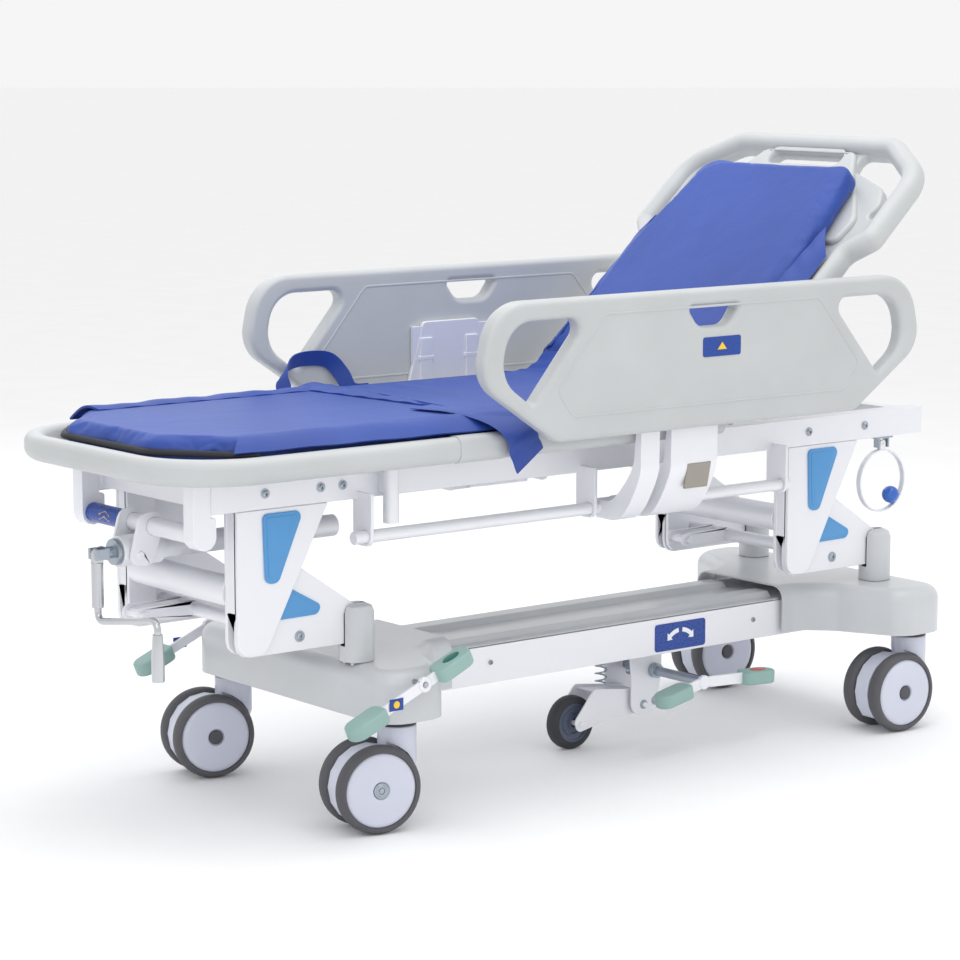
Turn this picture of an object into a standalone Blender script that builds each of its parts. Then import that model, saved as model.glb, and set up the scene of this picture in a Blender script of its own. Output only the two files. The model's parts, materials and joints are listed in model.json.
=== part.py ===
"""Hospital transfer cot on four twin-disc castors, built from separate named parts.

Units are metres, +Z is up and +X runs towards the head end. Sizes along the cot are
counted from the middle of the four castor stems, and the root empty then puts the
world's origin on the floor under the middle of the whole cot.

Each moving part hangs from an empty that lies on its joint's axis. Its mesh is drawn in
the straight, unturned position, and the empty turns it to the position at rest.
"""

import math

import bmesh
import bpy
from mathutils import Matrix, Vector

# Running gaps
GAP = 0.0003
PIN_GAP = 0.0004
SWING_GAP = 0.003

# Castors
WHEEL_RADIUS = 0.075
DISC_INNER_Y = 0.020
DISC_WIDTH = 0.030
TRAIL = 0.050
STEM_X = 0.607
STEM_Y = 0.244
STEM_RADIUS = 0.010
COLLAR_RADIUS = 0.033
COLLAR_TOP = 0.176
CASTOR_TURNS = {"foot_near": -12.0, "foot_far": -14.0, "head_near": -3.0, "head_far": -5.0}

# Base
BEAM_HALF_WIDTH = 0.108
BEAM_BOTTOM = 0.178
BEAM_TOP = 0.246
BEAM_WALL = 0.003
SOCKET_RADIUS = 0.0205
CROSS_TUBE_WIDTH = 0.060
CROSS_TUBE_BOTTOM = 0.200
COVER_BOTTOM = 0.184
COVER_TOP = 0.272
COVER_WALL = 0.003
COVER_END_X = 0.662
COVER_SIDE_Y = 0.294
COVER_CORNER = 0.048
COVER_SHOULDER_X = 0.545
COVER_THROAT_X = 0.395
RIDGE_HEIGHT = 0.010

# Lift linkage: two swing arms between the base and the legs of the bed frame
ARM_REACH = 0.222
BASE_PIVOT_FOOT_X = -0.633
BASE_PIVOT_HEAD_X = 0.590
PIVOT_Z = 0.338
ARM_Y = 0.167
ARM_THICKNESS = 0.008
ARM_END_RADIUS = 0.0225
PIN_RADIUS = 0.008
ARM_TUBE_RADIUS = 0.0125
YOKE_REACH = 0.104
YOKE_HALF = 0.0132
CAP_WIDTH = 0.056
EAR_HALF = 0.018
CAP_TOP = 0.370

# Bed frame
FRAME_Y = 0.185
FRAME_TUBE_WIDTH = 0.030
FRAME_BOTTOM = 0.548
FRAME_TOP = 0.600
FRAME_FOOT_X = -0.930
FRAME_HEAD_X = 0.694
LEG_PLATE = 0.008
LEG_INNER_Y = 0.154
LEG_WEB_RISE = 0.072
LEG_TUBE_RADIUS = 0.025
BUMPER_X = -0.942
BUMPER_Z = 0.513
BUMPER_RADIUS = 0.015
CRANK_Z = 0.472
CRANK_HUB_X = -1.005
CRANK_OFFSET = 0.026
CRANK_THROW = 0.180
CRANK_EYE_HALF = 0.0065
CRANK_PIN_RADIUS = 0.0035
CRANK_ELBOW_DROP = 0.1115
CRANK_THROW_DROP = 0.0835
CRANK_GRIP_DROP = 0.105
CRANK_GRIP_LENGTH = 0.077
RAIL_SHAFT_Y = 0.208
RAIL_SHAFT_Z = 0.487
RAIL_SHAFT_RADIUS = 0.011

# Deck and back section
DECK_FOOT_X = -1.058
DECK_SEAM_X = -0.512
DECK_HINGE_X = 0.078
DECK_HALF_WIDTH = 0.298
DECK_BOTTOM = 0.604
DECK_RIM_TOP = 0.650
DECK_FLOOR = 0.622
DECK_CORNER = 0.160
RIM_WIDTH = 0.040
BACK_HINGE_X = 0.086
BACK_HINGE_Z = 0.648
BACK_LENGTH = 0.690
BACK_ANGLE = 43.0
HEAD_HALF_WIDTH = 0.327

# Mattress
MATTRESS_THICKNESS = 0.055
MATTRESS_HALF_WIDTH = 0.246

# Side rails
RAIL_Y = 0.340
RAIL_THICKNESS = 0.034
RAIL_BOTTOM = 0.634
RAIL_TOP = 0.874
RAIL_MIDDLE_X = -0.004
RAIL_HALF_LENGTH = 0.512

# Brake pedals
BRAKE_SHAFT_X = -0.607
BRAKE_SHAFT_Z = 0.253
BRAKE_SHAFT_RADIUS = 0.005
BRAKE_PEDAL_Y = 0.320

# Steering wheel under the beam
STEER_WHEEL_X = -0.027
STEER_WHEEL_RADIUS = 0.050
STEER_PIVOT_X = 0.118
STEER_PIVOT_Z = 0.070
STEER_SHAFT_X = 0.142
STEER_SHAFT_Z = 0.132
STEER_SHAFT_RADIUS = 0.009
STEER_PEDAL_Y = -0.178
STEER_BRACKET_Y = 0.036

FINISHES = {
    "white_powder_coat": ((0.83, 0.84, 0.88), 0.35, 0.0),
    "warm_grey_plastic": ((0.76, 0.76, 0.74), 0.45, 0.0),
    "castor_white": ((0.85, 0.85, 0.92), 0.35, 0.0),
    "tyre_grey": ((0.16, 0.17, 0.19), 0.60, 0.0),
    "royal_blue_fabric": ((0.03, 0.08, 0.42), 0.55, 0.0),
    "chrome": ((0.75, 0.75, 0.76), 0.15, 1.0),
    "zinc_steel": ((0.60, 0.62, 0.64), 0.35, 1.0),
    "ball_blue": ((0.10, 0.25, 0.75), 0.30, 0.0),
    "pedal_white": ((0.83, 0.86, 0.88), 0.35, 0.0),
}

BODIES = {}
HEAD_SIGNS = {"foot": -1, "head": 1}
SIDE_SIGNS = {"near": -1, "far": 1}


def clear_scene():
    for old in list(bpy.data.objects):
        bpy.data.objects.remove(old, do_unlink=True)


def finish_material(name):
    """The Principled material of this name, made on first use."""
    if name in bpy.data.materials:
        return bpy.data.materials[name]
    colour, roughness, metallic = FINISHES[name]
    material = bpy.data.materials.new(name)
    material.use_nodes = True
    shader = material.node_tree.nodes["Principled BSDF"]
    shader.inputs["Base Color"].default_value = (*colour, 1.0)
    shader.inputs["Roughness"].default_value = roughness
    shader.inputs["Metallic"].default_value = metallic
    return material


def add_body(name, place, parent=None, turn=(0.0, 0.0, 0.0)):
    """An empty on the body's joint axis. place is in the unturned layout."""
    empty = bpy.data.objects.new(name + "_axis", None)
    empty.empty_display_size = 0.05
    bpy.context.scene.collection.objects.link(empty)
    place = Vector(place)
    if parent:
        carrier, carrier_place = BODIES[parent]
        empty.parent = carrier
        empty.location = place - carrier_place
    else:
        empty.location = place
    empty.rotation_euler = turn
    BODIES[name] = (empty, place)


def add_solid(name, body, shape, finish):
    """Turns a bmesh, drawn in the unturned layout, into the named object on a body."""
    carrier, place = BODIES[body]
    bmesh.ops.translate(shape, verts=shape.verts, vec=-place)
    bmesh.ops.recalc_face_normals(shape, faces=shape.faces)
    mesh = bpy.data.meshes.new(name)
    shape.to_mesh(mesh)
    shape.free()
    mesh.shade_smooth()
    mesh.set_sharp_from_angle(angle=math.radians(35))
    mesh.materials.append(finish_material(finish))
    solid = bpy.data.objects.new(name, mesh)
    solid.parent = carrier
    bpy.context.scene.collection.objects.link(solid)
    return solid


# Outlines


def arc(centre, radius, start, end, steps):
    """Points on an arc, angles in degrees, both ends included."""
    angles = [math.radians(start + (end - start) * i / steps) for i in range(steps + 1)]
    return [(centre[0] + radius * math.cos(a), centre[1] + radius * math.sin(a)) for a in angles]


def rounded(corners, steps=3):
    """The outline through (x, y, radius) corners, each rounded with its own radius."""
    points = []
    for i, (x, y, radius) in enumerate(corners):
        corner = Vector((x, y))
        if radius <= 0:
            points.append((x, y))
            continue
        before = Vector(corners[i - 1][:2]) - corner
        after = Vector(corners[(i + 1) % len(corners)][:2]) - corner
        half = before.angle(after) / 2
        reach = min(radius / math.tan(half), 0.49 * before.length, 0.49 * after.length)
        start = corner + before.normalized() * reach
        end = corner + after.normalized() * reach
        size = reach * math.tan(half)
        centre = corner + (before.normalized() + after.normalized()).normalized() * (
            size / math.sin(half)
        )
        first, last = start - centre, end - centre
        sweep = first.angle_signed(last)
        for step in range(steps + 1):
            turned = Matrix.Rotation(-sweep * step / steps, 2) @ first
            points.append(tuple(centre + turned))
    return points


def rectangle(low, high, radius=0.0, steps=3):
    corners = [(low[0], low[1]), (high[0], low[1]), (high[0], high[1]), (low[0], high[1])]
    return rounded([(x, y, radius) for x, y in corners], steps)


# Solids


def on_axis(axis, first, second, height):
    """A point from two coordinates in a plane and a height along the plane's axis."""
    if axis == "X":
        return Vector((height, first, second))
    if axis == "Y":
        return Vector((first, height, second))
    return Vector((first, second, height))


def prism(outline, low, high, axis="Z", holes=()):
    """A plate of the given outline, with holes through it."""
    shape = bmesh.new()
    edges = []
    for loop in (outline, *holes):
        ring = [shape.verts.new(on_axis(axis, a, b, low)) for a, b in loop]
        edges += [shape.edges.new((ring[i - 1], ring[i])) for i in range(len(ring))]
    bmesh.ops.triangle_fill(shape, use_beauty=True, use_dissolve=False, edges=edges)
    bmesh.ops.recalc_face_normals(shape, faces=shape.faces)
    raised = bmesh.ops.extrude_face_region(shape, geom=shape.faces[:])
    tops = [v for v in raised["geom"] if isinstance(v, bmesh.types.BMVert)]
    bmesh.ops.translate(shape, verts=tops, vec=on_axis(axis, 0, 0, high - low))
    bmesh.ops.recalc_face_normals(shape, faces=shape.faces)
    return shape


def loft(rings, closed=False):
    """Skins a list of equal rings of 3-D points. Ends are capped unless it is closed."""
    shape = bmesh.new()
    loops = [[shape.verts.new(p) for p in ring] for ring in rings]
    pairs = list(zip(loops, loops[1:])) + ([(loops[-1], loops[0])] if closed else [])
    for one, two in pairs:
        for i in range(len(one)):
            shape.faces.new((one[i - 1], one[i], two[i], two[i - 1]))
    if not closed:
        shape.faces.new(loops[0])
        shape.faces.new(list(reversed(loops[-1])))
    bmesh.ops.recalc_face_normals(shape, faces=shape.faces)
    return shape


def turned(profile, place, axis="Z", segments=24, closed=False):
    """A turned solid: profile lists (radius, height) along the axis through place."""
    rings = []
    for radius, height in profile:
        circle = arc((0, 0), radius, 0, 360, segments)[:-1]
        rings.append([Vector(place) + on_axis(axis, a, b, height) for a, b in circle])
    return loft(rings, closed)


def rod(start, end, radius, segments=12):
    """A round bar between two points."""
    start, end = Vector(start), Vector(end)
    shape = bmesh.new()
    bmesh.ops.create_cone(
        shape,
        cap_ends=True,
        segments=segments,
        radius1=radius,
        radius2=radius,
        depth=(end - start).length,
    )
    turn = (end - start).to_track_quat("Z", "Y").to_matrix().to_4x4()
    bmesh.ops.transform(shape, matrix=Matrix.Translation((start + end) / 2) @ turn, verts=shape.verts)
    return shape


def box(low, high, bevel=0.0):
    """A block between two corners, with its edges rounded if a bevel is given."""
    low, high = Vector(low), Vector(high)
    shape = bmesh.new()
    bmesh.ops.create_cube(shape, size=1.0)
    bmesh.ops.scale(shape, vec=high - low, verts=shape.verts)
    bmesh.ops.translate(shape, vec=(low + high) / 2, verts=shape.verts)
    if bevel:
        bmesh.ops.bevel(
            shape, geom=shape.edges[:], offset=bevel, segments=2, profile=0.5, affect="EDGES"
        )
    return shape


def bent_rod(points, radius, segments=10, bend=0.02, steps=3):
    """A round bar along a path whose inner corners are bent with the given radius."""
    path = [Vector(points[0])]
    for before, corner, after in zip(points, points[1:], points[2:]):
        corner = Vector(corner)
        back = (Vector(before) - corner).normalized() * bend
        ahead = (Vector(after) - corner).normalized() * bend
        for step in range(steps + 1):
            t = step / steps
            path.append(corner + back * (1 - t) ** 2 + ahead * t**2)
    path.append(Vector(points[-1]))
    rings = []
    side = (path[1] - path[0]).orthogonal().normalized()
    for i, point in enumerate(path):
        ahead = (path[min(i + 1, len(path) - 1)] - path[max(i - 1, 0)]).normalized()
        side = (side - ahead * side.dot(ahead)).normalized()
        other = ahead.cross(side)
        circle = arc((0, 0), radius, 0, 360, segments)[:-1]
        rings.append([point + side * a + other * b for a, b in circle])
    return loft(rings)


def placed(shape, place=(0, 0, 0), turn=0.0, axis="Z"):
    """Turns a shape about an axis through the origin, in degrees, then moves it."""
    matrix = Matrix.Translation(place) @ Matrix.Rotation(math.radians(turn), 4, axis)
    bmesh.ops.transform(shape, matrix=matrix, verts=shape.verts)
    return shape


def as_object(shape):
    mesh = bpy.data.meshes.new("helper")
    shape.to_mesh(mesh)
    shape.free()
    helper = bpy.data.objects.new("helper", mesh)
    bpy.context.scene.collection.objects.link(helper)
    return helper


def combine(shapes):
    """Puts several shapes in one bmesh without joining them."""
    whole = shapes[0]
    for shape in shapes[1:]:
        mesh = bpy.data.meshes.new("helper")
        shape.to_mesh(mesh)
        shape.free()
        whole.from_mesh(mesh)
        bpy.data.meshes.remove(mesh)
    return whole


def boolean(shape, tools, operation):
    """Joins the tools to the shape, or cuts them from it."""
    base, tool = as_object(shape), as_object(combine(tools))
    modifier = base.modifiers.new("boolean", "BOOLEAN")
    modifier.operation = operation
    modifier.use_self = True
    modifier.object = tool
    result = bmesh.new()
    result.from_object(base, bpy.context.evaluated_depsgraph_get())
    for helper in (base, tool):
        mesh = helper.data
        bpy.data.objects.remove(helper, do_unlink=True)
        bpy.data.meshes.remove(mesh)
    bmesh.ops.remove_doubles(result, verts=result.verts, dist=2e-6)
    bmesh.ops.dissolve_degenerate(result, edges=result.edges, dist=2e-6)
    return result


def fuse(*shapes):
    return boolean(shapes[0], list(shapes[1:]), "UNION")


def cut(shape, *tools):
    return boolean(shape, list(tools), "DIFFERENCE")


# Base


def castor_places():
    for end, end_sign in HEAD_SIGNS.items():
        for side, side_sign in SIDE_SIGNS.items():
            yield f"{end}_{side}", end_sign * STEM_X, side_sign * STEM_Y


def make_base_frame():
    """Folded channel beam, cross tubes, castor sockets and the ears of the lift pivots."""
    end_x = STEM_X + CROSS_TUBE_WIDTH / 2
    beam = cut(
        box((-end_x, -BEAM_HALF_WIDTH, BEAM_BOTTOM), (end_x, BEAM_HALF_WIDTH, BEAM_TOP)),
        box(
            (-end_x - 0.01, BEAM_WALL - BEAM_HALF_WIDTH, BEAM_BOTTOM - 0.01),
            (end_x + 0.01, BEAM_HALF_WIDTH - BEAM_WALL, BEAM_TOP - BEAM_WALL),
        ),
    )
    members = []
    bores = []
    for _, x, y in castor_places():
        members.append(rod((x, y, COLLAR_TOP + GAP * 2), (x, y, BEAM_TOP - 0.002), SOCKET_RADIUS, 20))
        bores.append(rod((x, y, COLLAR_TOP - 0.01), (x, y, BEAM_TOP - 0.015), STEM_RADIUS + PIN_GAP, 12))
    for sign in HEAD_SIGNS.values():
        half = CROSS_TUBE_WIDTH / 2
        low_x, high_x = sign * STEM_X - half, sign * STEM_X + half
        members.append(
            box((low_x, -STEM_Y - half, CROSS_TUBE_BOTTOM), (high_x, STEM_Y + half, BEAM_TOP - 0.001))
        )
    for pivot_x in (BASE_PIVOT_FOOT_X, BASE_PIVOT_HEAD_X):
        for sign in SIDE_SIGNS.values():
            members += pivot_ears(pivot_x, sign)
    frame = fuse(beam, *members)
    hollows = []
    for sign in HEAD_SIGNS.values():
        half = CROSS_TUBE_WIDTH / 2 - BEAM_WALL
        low_x, high_x = sign * STEM_X - half, sign * STEM_X + half
        for side in SIDE_SIGNS.values():
            outer = side * (STEM_Y + CROSS_TUBE_WIDTH)
            inner = side * (STEM_Y + SOCKET_RADIUS + 0.002)
            hollows.append(
                box(
                    (low_x, min(inner, outer), CROSS_TUBE_BOTTOM + BEAM_WALL),
                    (high_x, max(inner, outer), BEAM_TOP - 0.001 - BEAM_WALL),
                )
            )
    return cut(frame, *bores, *hollows)


def pivot_ears(pivot_x, sign):
    """Two ears and the pin of one lift pivot on the base."""
    ears = []
    inner = ARM_Y - ARM_THICKNESS / 2 - 0.004
    outer = ARM_Y + ARM_THICKNESS / 2 + 0.004
    outline = rounded(
        [
            (pivot_x - EAR_HALF, BEAM_TOP - 0.02, 0),
            (pivot_x + EAR_HALF, BEAM_TOP - 0.02, 0),
            (pivot_x + EAR_HALF, PIVOT_Z + 0.018, 0.016),
            (pivot_x - EAR_HALF, PIVOT_Z + 0.018, 0.016),
        ]
    )
    for low in (inner - 0.006, outer):
        ends = sorted((sign * low, sign * (low + 0.006)))
        ears.append(prism(outline, *ends, axis="Y"))
    start, end = sorted((sign * (inner - 0.003), sign * (outer + 0.003)))
    ears.append(rod((pivot_x, start, PIVOT_Z), (pivot_x, end, PIVOT_Z), PIN_RADIUS, 12))
    foot_low, foot_high = sorted((sign * (inner - 0.006), sign * (outer + 0.006)))
    reach = STEM_X if pivot_x > 0 else -STEM_X
    ears.append(
        box(
            (min(pivot_x, reach) - EAR_HALF, foot_low, BEAM_TOP - 0.02),
            (max(pivot_x, reach) + EAR_HALF, foot_high, BEAM_TOP + 0.001),
        )
    )
    return ears


def cover_outline(sign, inset=0.0, grow=0.0):
    """Plan of an end cover: wide over the castors and narrow at the beam."""
    side = COVER_SIDE_Y - inset
    end = COVER_END_X - inset
    shoulder = COVER_SHOULDER_X + inset
    throat = BEAM_HALF_WIDTH + 0.012 - inset
    corners = [
        (sign * end, side, COVER_CORNER - inset),
        (sign * shoulder, side, 0.050 - inset),
        (sign * (shoulder - 0.060), throat + 0.050, 0.060),
        (sign * (COVER_THROAT_X + 0.04), throat, 0.050),
        (sign * (COVER_THROAT_X - grow), throat, 0),
    ]
    mirror = [(x, -y, r) for x, y, r in reversed(corners)]
    return rounded(corners + mirror, 3)


def make_base_cover(sign):
    """Moulded end cover: a shell, open below, with a rolled top edge."""
    levels = [(0.0, COVER_BOTTOM), (0.0, COVER_TOP - 0.014), (0.004, COVER_TOP - 0.004), (0.013, COVER_TOP)]
    shell = loft([[(x, y, z) for x, y in cover_outline(sign, inset)] for inset, z in levels])
    inner_levels = [
        (COVER_WALL, COVER_BOTTOM - 0.01),
        (COVER_WALL, COVER_TOP - 0.017),
        (COVER_WALL + 0.004, COVER_TOP - 0.007),
        (COVER_WALL + 0.013, COVER_TOP - COVER_WALL),
    ]
    hollow = loft([[(x, y, z) for x, y in cover_outline(sign, inset, 0.01)] for inset, z in inner_levels])
    throat = sign * COVER_THROAT_X
    mouth = box(
        (throat - 0.03, -BEAM_HALF_WIDTH - GAP, COVER_BOTTOM - 0.02),
        (throat + 0.03, BEAM_HALF_WIDTH + GAP, BEAM_TOP + COVER_WALL + 0.0035),
    )
    pivot_x = BASE_PIVOT_HEAD_X if sign > 0 else BASE_PIVOT_FOOT_X
    openings = [mouth]
    for side in SIDE_SIGNS.values():
        ends = sorted((side * (ARM_Y - 0.019), side * (ARM_Y + 0.019)))
        openings.append(
            box((pivot_x - 0.0225, ends[0], COVER_TOP - 0.03), (pivot_x + 0.0225, ends[1], COVER_TOP + 0.01))
        )
    if sign < 0:
        reach = COVER_SIDE_Y + 0.01
        ends = [(BRAKE_SHAFT_X, side * reach, BRAKE_SHAFT_Z) for side in (-1, 1)]
        openings.append(rod(*ends, BRAKE_SHAFT_RADIUS + 0.002, 12))
    return cut(shell, hollow, *openings)


def make_beam_cover():
    """Ridged plastic cover that lies along the beam between the end covers."""
    half = BEAM_HALF_WIDTH + 0.002
    start, end = -COVER_THROAT_X - 0.028, COVER_THROAT_X + 0.028
    low = BEAM_TOP + GAP
    top = low + 0.0028
    profile = [(-half, low), (half, low), (half, top)]
    for centre in (0.062, -0.062):
        profile += [(centre + 0.026, top), (centre + 0.018, top + RIDGE_HEIGHT)]
        profile += [(centre - 0.018, top + RIDGE_HEIGHT), (centre - 0.026, top)]
    profile.append((-half, top))
    lid = prism(profile, start + 0.029, end - 0.029, axis="X")
    return lid


def make_arm_cap(pivot_x, end_sign, side_sign):
    """Half-round cap over a lift pivot, slotted where the swing arm enters it."""
    half = CAP_WIDTH / 2
    middle = side_sign * ARM_Y
    low_z = COVER_TOP + GAP * 2

    def ring(inset, z):
        outline = rectangle(
            (pivot_x - half + inset, middle - half + inset),
            (pivot_x + half - inset, middle + half - inset),
            0.022 - inset,
            3,
        )
        return [(x, y, z) for x, y in outline]

    levels = [(0, low_z), (0, CAP_TOP - 0.014), (0.004, CAP_TOP - 0.004), (0.013, CAP_TOP)]
    shell = loft([ring(depth, height) for depth, height in levels])
    hollow = loft([ring(0.003, low_z - 0.01), ring(0.003, CAP_TOP - 0.012), ring(0.010, CAP_TOP - 0.004)])
    slot_half = ARM_THICKNESS / 2 + 0.0015
    slot = box(
        (pivot_x - half - 0.01, middle - slot_half, PIVOT_Z - 0.038),
        (pivot_x + half - 0.006, middle + slot_half, CAP_TOP + 0.01),
    )
    return cut(shell, hollow, slot)


# Castors


def make_castor_housing(x, y):
    """Swivel collar with its stem, and the hood between the two discs."""
    centre = (x - TRAIL, y, WHEEL_RADIUS)
    half = DISC_INNER_Y - SWING_GAP
    hood_radius = WHEEL_RADIUS - 0.006
    lower = WHEEL_RADIUS * 0.35
    chord = math.degrees(math.asin((WHEEL_RADIUS - lower) / hood_radius))
    outline = arc((centre[0], centre[2]), hood_radius, -chord, 180 + chord, 12)
    hood = prism(outline, y - half, y + half, axis="Y")
    collar = turned(
        [(COLLAR_RADIUS - 0.004, 0.100), (COLLAR_RADIUS, 0.112), (COLLAR_RADIUS, COLLAR_TOP - 0.003),
         (COLLAR_RADIUS - 0.003, COLLAR_TOP)],
        (x, y, 0),
        segments=18,
    )
    stem = rod((x, y, COLLAR_TOP - 0.02), (x, y, BEAM_TOP - 0.02), STEM_RADIUS, 12)
    whole = fuse(collar, hood, stem)
    clearances = []
    for sign in (-1, 1):
        start = (centre[0], y + sign * half, centre[2])
        end = (centre[0], y + sign * (COLLAR_RADIUS + 0.03), centre[2])
        clearances.append(rod(start, end, WHEEL_RADIUS + SWING_GAP, 24))
    reach = half + 0.02
    bore = rod((centre[0], y - reach, centre[2]), (centre[0], y + reach, centre[2]), 0.0125, 12)
    return cut(whole, *clearances, bore)


def make_castor_wheel(x, y):
    """Twin discs with their tyres on one hub sleeve."""
    place = (x - TRAIL, y, WHEEL_RADIUS)
    outer = DISC_INNER_Y + DISC_WIDTH
    half_profile = [
        (0.012, DISC_INNER_Y),
        (WHEEL_RADIUS - 0.008, DISC_INNER_Y),
        (WHEEL_RADIUS, DISC_INNER_Y + 0.009),
        (WHEEL_RADIUS, outer - 0.011),
        (WHEEL_RADIUS - 0.013, outer - 0.002),
        (0.050, outer),
    ]
    profile = [(r, -h) for r, h in reversed(half_profile)] + half_profile
    return turned(profile, place, axis="Y", segments=20)


# Lift linkage


def make_swing_arms(pivot_x):
    """Near and far triangular arms, joined by their cross tube."""
    outline = rounded(
        [
            (pivot_x - ARM_REACH - 0.020, PIVOT_Z - 0.034, 0.024),
            (pivot_x + 0.022, PIVOT_Z - 0.034, 0.022),
            (pivot_x + ARM_END_RADIUS, PIVOT_Z + 0.012, ARM_END_RADIUS),
            (pivot_x - 0.150, PIVOT_Z + 0.128, 0.018),
            (pivot_x - ARM_REACH - 0.020, PIVOT_Z + 0.030, 0.030),
        ]
    )
    holes = []
    for hole_x in (pivot_x, pivot_x - ARM_REACH):
        holes.append(arc((hole_x, PIVOT_Z), PIN_RADIUS + PIN_GAP, 0, 360, 12)[:-1])
    plates = []
    for sign in SIDE_SIGNS.values():
        ends = sorted((sign * (ARM_Y - ARM_THICKNESS / 2), sign * (ARM_Y + ARM_THICKNESS / 2)))
        plates.append(prism(outline, *ends, axis="Y", holes=holes))
    tube_x, tube_z = pivot_x - 0.170, PIVOT_Z + 0.008
    tube = rod((tube_x, -ARM_Y, tube_z), (tube_x, ARM_Y, tube_z), ARM_TUBE_RADIUS, 12)
    yoke_y = 0.060
    yoke = []
    for low in (yoke_y, yoke_y + 0.042):
        lever = rounded(
            [
                (tube_x - YOKE_REACH - YOKE_HALF, tube_z - YOKE_HALF, YOKE_HALF),
                (tube_x + 0.018, tube_z - YOKE_HALF, YOKE_HALF),
                (tube_x + 0.018, tube_z + YOKE_HALF, YOKE_HALF),
                (tube_x - YOKE_REACH - YOKE_HALF, tube_z + YOKE_HALF, YOKE_HALF),
            ]
        )
        yoke.append(prism(lever, low, low + 0.006, axis="Y"))
    bolt_x = tube_x - YOKE_REACH
    bolt = rod((bolt_x, yoke_y - 0.006, tube_z), (bolt_x, yoke_y + 0.054, tube_z), 0.008, 6)
    return fuse(tube, *plates, *yoke, bolt)


def make_lift_leg(top_x, sign):
    """Fixed leg of the bed frame: two plates, the web that closes them and the pin."""
    slope = 0.5236
    top_z = FRAME_BOTTOM - GAP
    left = top_x - 0.026
    foot_z = PIVOT_Z - 0.030
    outline = rounded(
        [
            (left, top_z, 0),
            (left, foot_z, 0.024),
            (left + 0.054, foot_z, 0.024),
            (left + 0.054 + slope * (top_z - foot_z), top_z, 0),
        ]
    )
    outer = sorted((sign * (FRAME_Y - LEG_PLATE), sign * FRAME_Y))
    inner = sorted((sign * LEG_INNER_Y, sign * (LEG_INNER_Y - LEG_PLATE)))
    inner_outline = rounded(
        [
            (left, top_z, 0),
            (left, foot_z, 0.024),
            (left + 0.054, foot_z, 0.024),
            (left + 0.054, top_z, 0),
        ]
    )
    plates = [prism(outline, *outer, axis="Y"), prism(inner_outline, *inner, axis="Y")]
    ends = sorted((sign * (LEG_INNER_Y - LEG_PLATE / 2), sign * (FRAME_Y - LEG_PLATE / 2)))
    pin = rod((top_x, ends[0], PIVOT_Z), (top_x, ends[1], PIVOT_Z), PIN_RADIUS, 12)
    spacer = box((left + 0.003, ends[0], top_z - 0.012), (left + 0.050, ends[1], top_z - 0.001))
    web = box((left + 0.0006, ends[0], foot_z + LEG_WEB_RISE), (left + 0.0046, ends[1], top_z - 0.0006))
    return fuse(plates[0], plates[1], pin, spacer, web)


# Bed frame


def make_bed_frame():
    """Welded frame: two side tubes, cross tubes and the hangers of the rail shafts."""
    members = []
    for sign in SIDE_SIGNS.values():
        ends = sorted((sign * (FRAME_Y - FRAME_TUBE_WIDTH), sign * FRAME_Y))
        members.append(
            box((FRAME_FOOT_X, ends[0], FRAME_BOTTOM), (FRAME_HEAD_X, ends[1], FRAME_TOP), 0.002)
        )
        for hanger_x in (-0.640, -0.158, 0.060, 0.300):
            low, high = sorted((sign * (FRAME_Y - 0.012), sign * (RAIL_SHAFT_Y + 0.016)))
            plate = prism(
                rounded(
                    [
                        (low, FRAME_BOTTOM + 0.012, 0),
                        (high, FRAME_BOTTOM + 0.012, 0),
                        (high, RAIL_SHAFT_Z - 0.016, 0.015),
                        (low, RAIL_SHAFT_Z - 0.016, 0.015),
                    ]
                ),
                hanger_x - 0.003,
                hanger_x + 0.003,
                axis="X",
            )
            members.append(plate)
    inner = FRAME_Y - FRAME_TUBE_WIDTH / 2
    for cross_x in (FRAME_FOOT_X + 0.020, -0.500, 0.050, FRAME_HEAD_X - 0.020):
        members.append(
            box((cross_x - 0.015, -inner, FRAME_BOTTOM + 0.006), (cross_x + 0.015, inner, FRAME_TOP - 0.006))
        )
    whole = fuse(*members)
    bores = []
    for sign in SIDE_SIGNS.values():
        y = sign * RAIL_SHAFT_Y
        bores.append(
            rod((-0.70, y, RAIL_SHAFT_Z), (0.36, y, RAIL_SHAFT_Z), RAIL_SHAFT_RADIUS + PIN_GAP, 12)
        )
    return cut(whole, *bores)


def make_leg_tube(top_x):
    """Large cross tube between the inner plates of a pair of legs."""
    reach = LEG_INNER_Y - LEG_PLATE - GAP
    x, z = top_x - 0.006, PIVOT_Z + 0.072
    return rod((x, -reach, z), (x, reach, z), LEG_TUBE_RADIUS, 24)


def make_bumper():
    """Round bumper bar across the foot end in two hanging brackets."""
    reach = FRAME_Y
    bar = rod((BUMPER_X, -reach + 0.004, BUMPER_Z), (BUMPER_X, reach - 0.004, BUMPER_Z), BUMPER_RADIUS, 20)
    shapes = []
    outline = rounded(
        [
            (BUMPER_X - 0.022, FRAME_TOP - 0.002, 0.003),
            (BUMPER_X - 0.022, BUMPER_Z - 0.022, 0.021),
            (BUMPER_X + 0.022, BUMPER_Z - 0.022, 0.021),
            (BUMPER_X + 0.022, FRAME_BOTTOM - 0.004, 0.006),
            (FRAME_FOOT_X - GAP, FRAME_BOTTOM - 0.004, 0),
            (FRAME_FOOT_X - GAP, FRAME_TOP - 0.002, 0.003),
        ]
    )
    for sign in SIDE_SIGNS.values():
        ends = sorted((sign * (reach - FRAME_TUBE_WIDTH), sign * reach))
        shapes.append(prism(outline, *ends, axis="Y"))
    return fuse(bar, *shapes)


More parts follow.
